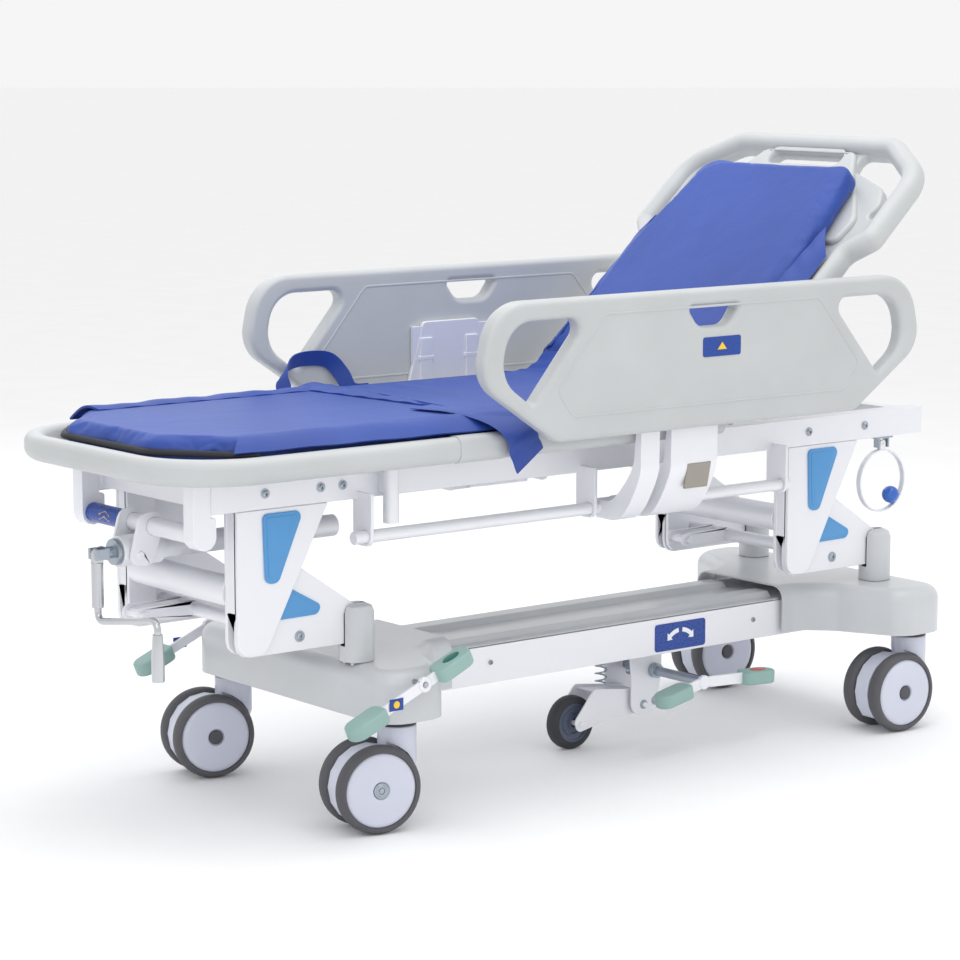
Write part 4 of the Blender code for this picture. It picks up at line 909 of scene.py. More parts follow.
@dataclass
class Castor:
    """A twin-disc castor: two discs with tyres, a hood between them and its collar."""

    end: End
    side: Side
    turn_deg: float
    stem: Point = (0.607, 0.244)
    radius: float = 0.075
    trail: float = 0.050
    disc_outer: float = 0.050

    @property
    def label(self) -> str:
        """The castor's place inside a piece name."""
        return f"{self.end.word}_{self.side.word}"

    @property
    def stem_place(self) -> Vector:
        """Where the stem meets the floor."""
        return Vector((self.end.value * self.stem[0], self.side.value * self.stem[1], 0.0))

    @property
    def hub(self) -> Vector:
        """The middle of the wheel before the castor is swivelled."""
        return self.stem_place + Vector((-self.trail, 0, self.radius))

    def swivelled(self, shape: Shape) -> Shape:
        """Turns a shape about the stem into the castor's place at rest."""
        return shape.turned(self.turn_deg, "Z", self.stem_place)

    def build(self) -> None:
        """Builds the wheel, its caps and the collar."""
        wheel = f"castor_wheel_{self.label}"
        discs, tyres, caps = Shape(), Shape(), Shape()
        for s in (-1, 1):
            discs.turn_profile(
                [
                    (0.0, s * 0.0455), (0.0140, s * 0.0455), (0.0155, s * 0.0486), (0.0200, s * 0.0496),
                    (0.0380, s * 0.0500), (0.0530, s * 0.0496), (0.0590, s * 0.0482), (0.0622, s * 0.0455),
                    (0.0626, s * 0.0420), (0.0626, s * 0.0205), (0.0, s * 0.0205),
                ],
                self.hub,
                Axis.Y,
                72,
            )
            tyres.turn_profile(
                [
                    (0.0620, s * 0.0202), (0.0668, s * 0.0205), (0.0715, s * 0.0228), (0.0740, s * 0.0272),
                    (0.0750, s * 0.0330), (0.0746, s * 0.0390), (0.0732, s * 0.0436), (0.0704, s * 0.0472),
                    (0.0668, s * 0.0488), (0.0638, s * 0.0486), (0.0628, s * 0.0466), (0.0620, s * 0.0430),
                ],
                self.hub,
                Axis.Y,
                72,
            )
            caps.turn_profile(
                [
                    (0.0, s * 0.0496), (0.0095, s * 0.0496), (0.0118, s * 0.0490), (0.0130, s * 0.0474),
                    (0.0132, s * 0.0450), (0.0, s * 0.0450),
                ],
                self.hub,
                Axis.Y,
                40,
            )
        discs.bar(self.hub - Vector((0, 0.021, 0)), self.hub + Vector((0, 0.021, 0)), 0.012)
        self.swivelled(discs).make(f"castor_discs_{self.label}", wheel, DISC, [f"castor_wheel_{self.label}"])
        self.swivelled(tyres).make(f"castor_tyres_{self.label}", wheel, TYRE)
        open_hub = self.end is End.FOOT and self.side is Side.NEAR
        if open_hub:
            caps.mesh.clear()
            face = self.hub + Vector((0, -0.0480, 0))
            caps.turn_profile(
                [
                    (0.0, 0.0), (0.0052, 0.0), (0.0060, -0.0012), (0.0092, -0.0014), (0.0104, 0.0),
                    (0.0130, 0.0), (0.0136, 0.0010), (0.0136, 0.004), (0.0, 0.004),
                ],
                face, Axis.Y, 40,
            )
            caps.plate(circle((face.x, face.z), 0.0046, 6), face.y - 0.0018, face.y, Axis.Y, edge=0.0004)
        self.swivelled(caps).make(f"castor_caps_{self.label}", wheel, ZINC if open_hub else CAP_GREY)
        self.collar()

    def collar(self) -> None:
        """Builds the hood with its collar, and a dark ring of painted shade for the gap under the base."""
        housing = f"castor_housing_{self.label}"
        dressed_copy(f"castor_hood_{self.label}", housing, f"castor_{self.label}", DISC, 0.0010)
        # The dark ring is painted shade: it fills the gap under the base cover with dark grey.
        ring = Shape().turn_profile(
            [
                (0.0, 0.1745), (0.0322, 0.1745), (0.0330, 0.1752), (0.0330, 0.1785), (0.0318, 0.1795),
                (0.0, 0.1795),
            ],
            self.stem_place, Axis.Z, 48,
        )
        ring.make(f"castor_ring_{self.label}", f"castor_{self.label}", GAP_SHADE)


@dataclass
class Base:
    """The folded beam, its ridged cover, the two end covers and the pivot caps."""

    cover_bottom: float = 0.184
    cover_top: float = 0.272
    end_x: float = 0.662
    side_y: float = 0.294
    shoulder_x: float = 0.545
    throat_x: float = 0.395
    beam_half: float = 0.108
    wall: float = 0.003

    def outline(self, sign: int, depth: float) -> Outline:
        """Plan of an end cover: wide over the castors and narrow at the beam.

        Args:
            sign: the end, -1 at the foot.
            depth: how far inside the widest outline it runs.

        Returns:
            The outline, whose last side closes the throat.
        """
        side, end = self.side_y - depth, self.end_x - depth
        shoulder, throat = self.shoulder_x + depth * 0.6, self.beam_half + 0.012 - depth
        corners = [
            (sign * end, side, max(0.012, 0.048 - depth)),
            (sign * shoulder, side, 0.050),
            (sign * (shoulder - 0.060), throat + 0.050, 0.060),
            (sign * (self.throat_x + 0.04), throat, 0.050),
            (sign * self.throat_x, throat, 0),
        ]
        return rounded(corners + [(x, -y, r) for x, y, r in reversed(corners)], 8)

    def end_cover(self, end: End) -> None:
        """Builds one end cover as a shell that is open below and at the throat."""
        roll = round_over(0.026, self.cover_bottom - 0.026, self.cover_top, 7)[8:]
        levels = [(0.0, self.cover_bottom), (0.0, self.cover_bottom + 0.020), *roll]
        loops = [[(x, y, z) for x, y in self.outline(end.value, depth)] for depth, z in levels]
        shell = Shape().skin(loops, caps=False)
        top = [e for e in shell.mesh.edges if e.is_boundary and e.verts[0].co.z > self.cover_top - 1e-5]
        bmesh.ops.contextual_create(shell.mesh, geom=top)
        throat = end.value * self.throat_x
        doors = [f for f in shell.mesh.faces if all(abs(v.co.x - throat) < 1e-5 for v in f.verts)]
        bmesh.ops.delete(shell.mesh, geom=doors, context="FACES")
        bmesh.ops.recalc_face_normals(shell.mesh, faces=shell.mesh.faces)
        tops = [f for f in shell.mesh.faces if f.calc_center_median().z > self.cover_top - 1e-4]
        if tops and tops[0].normal.z < 0:
            bmesh.ops.reverse_faces(shell.mesh, faces=shell.mesh.faces)
        bmesh.ops.solidify(shell.mesh, geom=shell.mesh.faces[:], thickness=self.wall)
        shell.make(f"end_cover_{end.word}", "root", FORMED, [f"base_cover_{end.word}"], smooth=50)

    def beam_label(self) -> None:
        """Builds the blue plate on the near face of the beam with its curved arrow."""
        face = -self.beam_half
        plate = Shape().plate(rectangle((0.084, 0.183), (0.208, 0.234), 0.006), face - 0.0010, face, Axis.Y)
        plate.make("beam_label_plate", "root", LABEL)
        marks = Shape()
        centre = (0.146, 0.181)
        for start, end in ((97, 132), (83, 48)):
            band = arc(centre, 0.042, start, end, 12) + arc(centre, 0.034, end, start, 12)
            marks.plate(band, face - 0.0016, face - 0.0009, Axis.Y)
            a = math.radians(end)
            lean = math.radians(15 if end > 90 else -15)
            tip = (centre[0] + 0.038 * math.cos(a + lean), centre[1] + 0.038 * math.sin(a + lean))
            wings = [(centre[0] + r * math.cos(a), centre[1] + r * math.sin(a)) for r in (0.047, 0.029)]
            marks.plate([tip, *wings], face - 0.0016, face - 0.0009, Axis.Y)
        marks.make("beam_label_arrows", "root", WHITE)

    def screws(self) -> None:
        """Builds the small screws in both faces of the beam."""
        screws = Shape(0.0)
        for x, z in ((-0.300, 0.215), (0.330, 0.215)):
            screws.mesh = self.joined(screws, bolt_head((x, -self.beam_half, z), Side.NEAR, 0.0035))
            screws.mesh = self.joined(screws, bolt_head((x, self.beam_half, z), Side.FAR, 0.0035))
        screws.moved(Matrix.Translation((STEM_SHIFT, 0, 0)))
        screws.make("beam_screws", "root", ZINC)

    @staticmethod
    def joined(shape: Shape, other: Shape) -> bmesh.types.BMesh:
        """Adds one shape's mesh to another's and returns it."""
        return shape.take(other.mesh).mesh

    def build(self) -> None:
        """Builds every piece that stands still on the castors."""
        dressed_copy("beam_and_sockets", "base_frame", "root", POWDER, 0.0012)
        dressed_copy("beam_cover_ridged", "beam_cover", "root", FORMED, 0.0016)
        for end in End:
            self.end_cover(end)
            for side in Side:
                place = f"{end.word}_{side.word}"
                dressed_copy(f"pivot_cap_{place}", f"arm_cap_{place}", "root", FORMED, 0.0008)
        self.beam_label()
        self.screws()


@dataclass
class LiftLinkage:
    """The swing arms, the legs of the bed frame and their sky-blue inserts."""

    head_step: float = 1.223
    leg_face: float = 0.185
    arm_face: float = 0.171

    def insert(
        self, name: str, corners: Sequence[tuple[float, float, float]], face: float, body: str
    ) -> None:
        """Builds one insert: a raised plate with a smaller raised plate standing on it.

        Args:
            name: the piece's name.
            corners: (x, z, radius) of its corners.
            face: how far out the plate that it sits on is, with its sign.
            body: the body that it rides on.
        """
        sign = 1 if face > 0 else -1
        outline = rounded(corners, 7)
        pad = Shape().plate(outline, face, face + sign * 0.0034, Axis.Y, edge=0.0014, edge_steps=3)
        pad.plate(inset(outline, 0.0065), face + sign * 0.003, face + sign * 0.0042, Axis.Y, edge=0.0005)
        pad.make(name, body, SKY, weighted=False)

    def build(self) -> None:
        """Builds both ends of the linkage."""
        for end, shift in ((End.FOOT, 0.0), (End.HEAD, self.head_step)):
            arms = f"lift_arms_{end.word}"
            dressed_copy(f"swing_arms_{end.word}", arms, arms, POWDER, 0.0012)
            dressed_copy(f"cross_tube_{end.word}", f"leg_tube_{end.word}", "bed", POWDER, 0.0015)
            for side in Side:
                s = side.value
                place = f"{end.word}_{side.word}"
                dressed_copy(f"leg_plates_{place}", f"lift_leg_{place}", "bed", POWDER, 0.0015)
                self.insert(
                    f"leg_insert_{place}",
                    [
                        (-0.833 + shift, 0.541, 0.010), (-0.752 + shift, 0.541, 0.011),
                        (-0.803 + shift, 0.425, 0.014), (-0.829 + shift, 0.425, 0.014),
                    ],
                    s * self.leg_face,
                    "bed",
                )
                self.insert(
                    f"arm_insert_{place}",
                    [
                        (-0.776 + shift, 0.414, 0.002), (-0.708 + shift, 0.376, 0.016),
                        (-0.716 + shift, 0.361, 0.012), (-0.803 + shift, 0.360, 0.002),
                    ],
                    s * self.arm_face,
                    arms,
                )
                arm_bolt = bolt_head((-0.751 + shift, s * self.arm_face, 0.328), side, 0.0072)
                arm_bolt.make(f"arm_bolt_{place}", arms, ZINC)


@dataclass
class BedFrame:
    """The welded frame with its bumper, sockets, tubes and bolts."""

    face: float = 0.185
    bumper_x: float = -0.942
    bumper_z: float = 0.513

    def bolts(self) -> None:
        """Builds the screws along both side tubes."""
        for side in Side:
            row = Shape()
            for x in (-0.826, -0.716, -0.672, 0.393, 0.539):
                row.take(bolt_head((x, side.value * self.face, 0.574), side, 0.0062).mesh)
            row.make(f"frame_bolts_{side.word}", "bed", ZINC)

    def bumper_sleeve(self) -> None:
        """Builds the blue sleeve on the bumper and its plain yellow arrow."""
        section = round_over(0.002, 0.056, 0.172, 3)
        profile = [(0.0152, 0.056), *[(0.0166 - d * 0.5, y) for d, y in section], (0.0152, 0.172)]
        sleeve = Shape().turn_profile(profile, (self.bumper_x, 0, self.bumper_z), Axis.Y, 40)
        sleeve.make("bumper_sleeve", "bed", LABEL)
        arrow = Shape()
        outline = [
            (0.080, -0.006), (0.096, 0.0), (0.112, -0.006), (0.112, 0.004), (0.096, 0.010), (0.080, 0.004)
        ]
        points = [(-self.sleeve_reach(z), y, z) for y, z in outline]
        arrow.skin(
            [
                [(self.bumper_x + x, y, self.bumper_z + z) for x, y, z in points],
                [(self.bumper_x + x - 0.0008, y, self.bumper_z + z) for x, y, z in points],
            ]
        )
        arrow.make("bumper_arrow", "bed", YELLOW)

    @staticmethod
    def sleeve_reach(z: float) -> float:
        """How far the sleeve stands out from its axis at a height."""
        return math.sqrt(0.0164**2 - z**2)

    def build(self) -> None:
        """Builds the frame's pieces."""
        for name, node, finish, edge in (
            ("welded_frame", "bed_frame", POWDER, 0.0010),
            ("bumper_rail", "bumper_bar", POWDER, 0.0012),
            ("crank_bearing", "crank_housing", POWDER, 0.0010),
            ("screw_sleeve", "lift_screw_tube", POWDER, 0.0010),
            ("pole_holder", "pole_socket", POWDER, 0.0008),
            ("ring_fork", "ring_hanger", ZINC, 0.0005),
            ("shaft_near", "rail_shaft_near", POWDER, 0.0010),
            ("shaft_far", "rail_shaft_far", POWDER, 0.0010),
        ):
            dressed_copy(name, node, "bed", finish, edge)
        self.bolts()
        self.bumper_sleeve()


@dataclass
class Deck:
    """The leg and seat trays with their tube-like rim."""

    foot_x: float = -1.058
    seam_x: float = -0.512
    hinge_x: float = 0.078
    half: float = 0.298
    low: float = 0.604
    top: float = 0.650
    floor: float = 0.622
    corner: float = 0.160
    rim: float = 0.040

    def rim_section(self, swell: float = 0.0) -> list[Point]:
        """The rim's section: (outwards, z), round outside and rolled over inside.

        Args:
            swell: how far it stands proud of the plain section.

        Returns:
            The section's points.
        """
        corners = [
            (-self.rim - 0.004, self.low + 0.006, 0.004),
            (swell, self.low - swell, 0.018),
            (swell, self.top + swell, 0.021),
            (-self.rim + 0.008, self.top + swell, 0.016),
            (-self.rim - 0.004, self.floor, 0.004),
        ]
        return rounded(corners, 6)

    def foot_path(self) -> Outline:
        """The rim's way round the foot end, from the far seam to the near one."""
        bend = [
            *arc((self.foot_x + self.corner, self.half - self.corner), self.corner, 90, 180, 18),
            *arc((self.foot_x + self.corner, self.corner - self.half), self.corner, 180, 270, 18),
        ]
        return [(self.seam_x - 0.0004, self.half), *bend, (self.seam_x - 0.0004, -self.half)]

    def build(self) -> None:
        """Builds both trays and the sleeves of the seams."""
        leg = Shape().sweep(self.foot_path(), self.rim_section())
        inner = [
            (self.seam_x - 0.0004, self.half - self.rim), *inset(self.foot_path(), self.rim)[1:-1],
            (self.seam_x - 0.0004, self.rim - self.half),
        ]
        leg.plate(inner, self.low + 0.006, self.floor, edge=0.0)
        leg.make("leg_tray", "bed", MOULDED, ["deck_leg_section"], smooth=45)
        seat = Shape()
        for s in (-1, 1):
            path = [
                (self.seam_x + 0.0004, s * self.half), (-0.22, s * self.half), (self.hinge_x, s * self.half)
            ]
            seat.sweep(path if s < 0 else path[::-1], self.rim_section())
        seat.plate(
            rectangle((self.seam_x + 0.0004, self.rim - self.half), (self.hinge_x, self.half - self.rim)),
            self.low + 0.006, self.floor,
        )
        seat.make("seat_tray", "bed", MOULDED, ["deck_seat_section"], smooth=45)
        for s in (-1, 1):
            path = [(self.seam_x - 0.001, s * self.half), (-0.418, s * self.half)]
            sleeve = Shape().sweep(path if s < 0 else path[::-1], self.rim_section(0.0016))
            sleeve.make(f"seam_sleeve_{'near' if s < 0 else 'far'}", "bed", MOULDED, smooth=45)


@dataclass
class BackBoard:
    """The raised back section: a board with corner windows inside a round rim."""

    hinge: Point = (0.086, 0.648)
    length: float = 0.690
    angle: float = 43.0
    half: float = 0.286
    head_half: float = 0.327
    low: float = 0.604
    top: float = 0.650
    floor: float = 0.622
    rim: float = 0.038

    def raised(self, shape: Shape) -> Shape:
        """Turns a shape from lying flat to the back's angle at rest."""
        return shape.turned(-self.angle, "Y", (self.hinge[0], 0, self.hinge[1]))

    def half_outline(self) -> list[tuple[float, float, float]]:
        """Corners of the far half of the board, from the hinge to the head."""
        x = self.hinge[0]
        step = x + 0.415
        far = x + self.length
        return [
            (x, self.half, 0),
            (step - 0.020, self.half, 0.020),
            (step + 0.020, self.head_half, 0.030),
            (far - 0.080, self.head_half, 0.090),
            (far, self.head_half - 0.118, 0.070),
        ]

    def outline(self) -> Outline:
        """The board's whole outline, which starts and ends at the hinge."""
        corners = self.half_outline()
        return rounded(corners + [(x, -y, r) for x, y, r in reversed(corners)], 9)

    def window(self, sign: int) -> Outline:
        """Crescent opening at a head corner, between the rim and the board."""
        x, y = self.hinge[0] + self.length, self.head_half
        corners = [
            (x - 0.080, y - 0.190, 0.014),
            (x - 0.040, y - 0.196, 0.014),
            (x - 0.040, y - 0.130, 0.040),
            (x - 0.098, y - 0.046, 0.060),
            (x - 0.196, y - 0.043, 0.014),
            (x - 0.196, y - 0.076, 0.012),
            (x - 0.168, y - 0.058, 0.030),
            (x - 0.122, y - 0.080, 0.040),
            (x - 0.094, y - 0.150, 0.040),
        ]
        return [(a, sign * b) for a, b in rounded(corners, 7)]

    def build(self) -> None:
        """Builds the board with its rim."""
        outline = self.outline()
        end = self.hinge[0] + self.length
        slot = rectangle((end - 0.077, -0.096), (end - 0.044, 0.096), 0.015, 7)
        board = Shape().plate(
            inset(outline, 0.012), 0.608, 0.630, holes=[
                slot, self.window(1), self.window(-1)
            ], edge=0.006, edge_steps=4
        )
        section = rounded(
            [
                (-self.rim, self.low + 0.004, 0.010), (0.0, self.low, 0.020), (0.0, self.top, 0.021),
                (-self.rim, self.top, 0.018),
            ],
            6,
        )
        board.sweep(outline[::-1], section)
        board.plate(inset(self.field(), 0.0), 0.624, 0.6405, holes=[slot], edge=0.007, edge_steps=4)
        self.raised(board).make("back_board", "back", MOULDED, ["back_section"], smooth=45)

    def field(self) -> Outline:
        """The raised middle of the board, which stops short of the windows."""
        x = self.hinge[0]
        far = x + self.length - 0.030
        corners = [
            (x + 0.420, 0.235, 0.020),
            (x + 0.480, 0.245, 0.040),
            (far - 0.125, 0.205, 0.060),
            (far - 0.060, 0.150, 0.040),
            (far - 0.010, 0.120, 0.020),
        ]
        return rounded(corners + [(a, -b, r) for a, b, r in reversed(corners)], 6)


@dataclass
class Mattress:
    """The mattress: two padded parts, folded flaps, zips and straps."""

    low: float = 0.6245
    thick: float = 0.046
    half: float = 0.247
    back: BackBoard = field(default_factory=BackBoard)

    def pad(
        self, name: str, corners: Sequence[tuple[float, float, float]], body: str, finish: Finish, node: str,
        cap: float,
    ) -> bpy.types.Object:
        """Builds one padded part and lets its cover swell and pucker.

        Args:
            name: the piece's name.
            corners: (x, y, radius) of its plan.
            body: the body that it rides on.
            finish: its cloth.
            node: the plain CAD solid that it stands for.
            cap: the furthest that a point of it may move.

        Returns:
            The new object, with its mesh final.
        """
        shape = Shape()
        shape.plate(rounded(corners, 8), self.low, self.low + self.thick, edge=0.010, edge_steps=4)
        piece = shape.make(name, body, finish, [node], weighted=False)
        swell(piece, 0.006, cap)
        return piece

    def flap(
        self, name: str, corner_points: Sequence[Sequence[float]], thick: float, body: str, finish: Finish,
        lift: Callable[[float, float], float] | None = None,
    ) -> Shape:
        """A folded piece of cover cloth between four corners, slightly puckered.

        Args:
            name: kept for the log.
            corner_points: its corners, in order round it.
            thick: the thickness of the folded cloth.
            body: the body that it rides on.
            finish: its cloth.
            lift: the height added at a share along and across it.

        Returns:
            The shape, ready to make.
        """
        log.debug("%s on %s in %s", name, body, finish.name)
        a, b, c, d = (Vector(p) for p in corner_points)
        part = bmesh.new()
        bmesh.ops.create_grid(part, x_segments=40, y_segments=10, size=0.5)
        for vert in part.verts:
            u, v = vert.co.x + 0.5, vert.co.y + 0.5
            place = a.lerp(b, u).lerp(d.lerp(c, u), v)
            pucker = 0.0011 * math.sin(
                u * 21 + 3 * v
            ) * math.sin(v * math.pi) + 0.0007 * math.sin(u * 47 + 1.3)
            place.z += pucker + (lift(u, v) if lift else 0.0)
            vert.co = place
        bmesh.ops.recalc_face_normals(part, faces=part.faces)
        if part.faces[0].normal.z < 0:
            bmesh.ops.reverse_faces(part, faces=part.faces)
        bmesh.ops.solidify(part, geom=part.faces[:], thickness=-thick)
        bmesh.ops.recalc_face_normals(part, faces=part.faces)
        return Shape().take(part)

    def strap(
        self, path: Sequence[Sequence[float]], across: Sequence[float], width: float, thick: float = 0.0022
    ) -> Shape:
        """A flat strap along a smooth path.

        Args:
            path: points that its middle goes through.
            across: the direction of its width.
            width: its width.
            thick: its thickness.

        Returns:
            The shape.
        """
        line = smooth_line(path, 8)
        loops = []
        for i, point in enumerate(line):
            ahead = (line[min(i + 1, len(line) - 1)] - line[max(i - 1, 0)]).normalized()
            side = Vector(across)
            side = (side - ahead * side.dot(ahead)).normalized() * width / 2
            up = ahead.cross(side).normalized() * thick / 2
            edge = side * 0.96
            loops.append(
                [
                    point + side, point + edge + up, point - edge + up, point - side, point - edge - up,
                    point + edge - up,
                ]
            )
        return Shape().skin(loops)

    def leg_part(self) -> None:
        """Builds the leg and seat part with its flaps, zips and straps."""
        h = self.half
        half = [(-1.008, 0.128, 0.030), (-0.905, h, 0.070), (0.044, h, 0.012)]
        corners = half + [(x, -y, r) for x, y, r in reversed(half)]
        self.pad("mattress_leg_pad", corners, "bed", ROYAL, "mattress_leg", 0.007)
        top = self.low + self.thick + 0.0035
        over = self.flap(
            "seat overlay",
            [(-0.440, -h, top), (0.040, -h, top), (0.040, h, top), (-0.408, h, top)],
            0.0045,
            "bed",
            ROYAL,
            lambda u, v: 0.0035 * math.exp(-(u * 9)) - 0.012 * max(0.0, abs(v - 0.5) - 0.44) / 0.06,
        )
        over.make("seat_overlay", "bed", ROYAL, smooth=60, weighted=False)
        near = self.flap(
            "near flap",
            [
                (-0.935, -0.258, 0.6535), (0.040, -0.289, 0.6535), (0.040, -0.230, top + 0.004),
                (-0.900, -0.226, top + 0.001),
            ],
            0.0035,
            "bed",
            ROYAL,
            lambda u, v: 0.0055 * math.sin(v * math.pi) + 0.0006,
        )
        near.make("near_side_flap", "bed", ROYAL, smooth=60, weighted=False)
        far = self.flap(
            "far fold",
            [
                (-0.905, 0.196, top - 0.001), (-0.405, 0.200, top - 0.001), (-0.400, 0.262, 0.6560),
                (-0.930, 0.246, 0.6560),
            ],
            0.004,
            "bed",
            ROYAL,
            lambda u, v: 0.012 * math.sin(v * math.pi) + 0.002,
        )
        far.make("far_side_fold", "bed", ROYAL, smooth=60, weighted=False)
        lip = self.flap(
            "lip",
            [
                (-0.470, 0.236, top + 0.003), (-0.425, -0.190, top + 0.004), (-0.405, -0.190, top + 0.004),
                (-0.400, 0.240, top + 0.003),
            ],
            0.003,
            "bed",
            ROYAL,
            lambda u, v: 0.006 * math.sin(v * math.pi) * (1 - u),
        )
        lip.make("far_lip", "bed", ROYAL, smooth=60, weighted=False)
        self.zips(top)
        strap = self.strap(
            [
                (-0.452, -0.120, top + 0.007), (-0.432, -0.205, top + 0.007), (-0.410, -0.272, 0.6690),
                (-0.394, -0.3030, 0.6480), (-0.383, -0.3060, 0.6220), (-0.372, -0.3050, 0.6010),
            ],
            (1.0, 0.2, 0.0),
            0.080,
        )
        strap.make("near_strap", "bed", ROYAL, smooth=60, weighted=False)
        loop = self.strap(
            [
                (-0.455, 0.236, 0.664), (-0.455, 0.285, 0.661), (-0.452, 0.303, 0.690),
                (-0.420, 0.312, 0.718), (-0.350, 0.314, 0.717), (-0.322, 0.305, 0.690),
                (-0.316, 0.282, 0.661), (-0.316, 0.236, 0.664),
            ],
            (0.45, -0.3, 1.0),
            0.030,
        )
        loop.make("far_strap", "bed", ROYAL, smooth=60, weighted=False)

    def zips(self, top: float) -> None:
        """Builds the dark zips of the leg part.

        Args:
            top: the height of the cover above which they lie.
        """
        edge = [
            (-0.900, 0.262), (-0.960, 0.200), (-1.008, 0.136), (-1.0135, 0.090), (-1.0135, 0.0),
            (-1.0135, -0.090), (-1.008, -0.136), (-0.960, -0.200), (-0.925, -0.240), (-0.885, -0.2565),
        ]
        line = smooth_line([(*p, 0.6520) for p in edge], 6)
        Shape().pipe([tuple(p) for p in line], 0.0065, 12, 0.6).make(
            "foot_zip", "bed", ZIP, smooth=60, weighted=False
        )
        seam = [
            (-0.412, 0.240), (-0.441, 0.066), (-0.449, -0.064), (-0.447, -0.140), (-0.440, -0.215),
            (-0.440, -0.246),
        ]
        cross = smooth_line([(*p, top + 0.0012) for p in seam], 8)
        Shape().pipe([tuple(p) for p in cross], 0.0026, 10, 0.7).make(
            "cross_zip", "bed", ZIP, smooth=60, weighted=False
        )

    def back_part(self) -> None:
        """Builds the back part with its two side flaps."""
        x = self.back.hinge[0]
        half, far = 0.230, x + 0.572
        shape_corners = [
            (x + 0.050, -half, 0.012), (x + 0.340, -half, 0.080), (far, -0.194, 0.030), (far, 0.194, 0.050),
            (x + 0.340, half, 0.080), (x + 0.050, half, 0.012),
        ]
        shape = Shape()
        shape.plate(rounded(shape_corners, 8), 0.6415, 0.6415 + 0.044, edge=0.010, edge_steps=4)
        pad = self.back.raised(shape).make(
            "mattress_back_pad", "back", ROYAL_BACK, ["mattress_back"], weighted=False
        )
        swell(pad, 0.005, 0.006)
        for s, word in ((-1, "near"), (1, "far")):
            flap = self.flap(
                "back flap",
                [
                    (x + 0.060, s * 0.266, 0.6530), (x + 0.370, s * 0.262, 0.6530),
                    (x + 0.425, s * 0.232, 0.6700), (x + 0.060, s * 0.214, 0.6890),
                ],
                0.003,
                "back",
                ROYAL_BACK,
                lambda u, v: 0.004 * math.sin(v * math.pi) + 0.001,
            )
            self.back.raised(flap).make(f"back_flap_{word}", "back", ROYAL_BACK, smooth=60, weighted=False)

    def bend_cover(self) -> None:
        """Builds the cloth that joins the seat and back parts over the hinge."""
        section = [
            (0.000, 0.6770), (0.040, 0.6775), (0.066, 0.683), (0.090, 0.699), (0.118, 0.726), (0.140, 0.7465)
        ]
        line = smooth_line([(a, 0.0, b) for a, b in section], 6)
        cover = Shape()
        loops = []
        for i, point in enumerate(line):
            ahead = (line[min(i + 1, len(line) - 1)] - line[max(i - 1, 0)]).normalized()
            up = Vector((-ahead.z, 0, ahead.x))
            ring = []
            for sign, depth in ((1, 0.0), (-1, -0.010)):
                for step in range(25):
                    y = sign * (-0.232 + 0.464 * step / 24)
                    ring.append(point + Vector((0, y, 0)) + up * (depth + 0.0012 * math.sin(y * 60 + i)))
            loops.append(ring)
        cover.skin(loops)
        piece = cover.make("hinge_cover", "bed", ROYAL, smooth=60, weighted=False)
        piece.parent = None
        del piece["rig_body"]
        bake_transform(piece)

    def build(self) -> None:
        """Builds the whole mattress."""
        self.leg_part()
        self.back_part()
        self.bend_cover()


def swell(piece: bpy.types.Object, voxel: float, cap: float) -> None:
    """Blows a padded piece up slightly as cloth and keeps the result as its mesh.

    Args:
        piece: the piece, which has its plain shape.
        voxel: the size of the remeshed faces.
        cap: the furthest that a point may move.
    """
    log.info("swelling %s", piece.name)
    remesh = piece.modifiers.new("remesh", "REMESH")
    remesh.mode = "VOXEL"
    remesh.voxel_size = voxel
    keep_evaluated(piece)
    rest = [v.co.copy() for v in piece.data.vertices]
    cloth = piece.modifiers.new("cloth", "CLOTH")
    cloth.settings.quality = 4
    cloth.settings.mass = 0.25
    cloth.settings.tension_stiffness = 12
    cloth.settings.compression_stiffness = 12
    cloth.settings.bending_stiffness = 0.4
    cloth.settings.use_pressure = True
    cloth.settings.uniform_pressure_force = 3.0
    cloth.settings.effector_weights.gravity = 0.0
    cloth.settings.shrink_min = -0.012
    cloth.collision_settings.use_collision = False
    for step in range(1, 17):
        bpy.context.scene.frame_set(step)
    keep_evaluated(piece)
    bpy.context.scene.frame_set(1)
    for vert, start in zip(piece.data.vertices, rest):
        move = vert.co - start
        if move.length > cap:
            vert.co = start + move * (cap / move.length)
    smooth = piece.modifiers.new("smooth", "SUBSURF")
    smooth.levels = smooth.render_levels = 1
    keep_evaluated(piece)
    piece.data.shade_smooth()


def keep_evaluated(piece: bpy.types.Object) -> None:
    """Makes the piece's evaluated mesh its own and drops its modifiers."""
    graph = bpy.context.evaluated_depsgraph_get()
    made = bpy.data.meshes.new_from_object(piece.evaluated_get(graph))
    old = piece.data
    piece.modifiers.clear()
    piece.data = made
    made.name = piece.name
    bpy.data.meshes.remove(old)


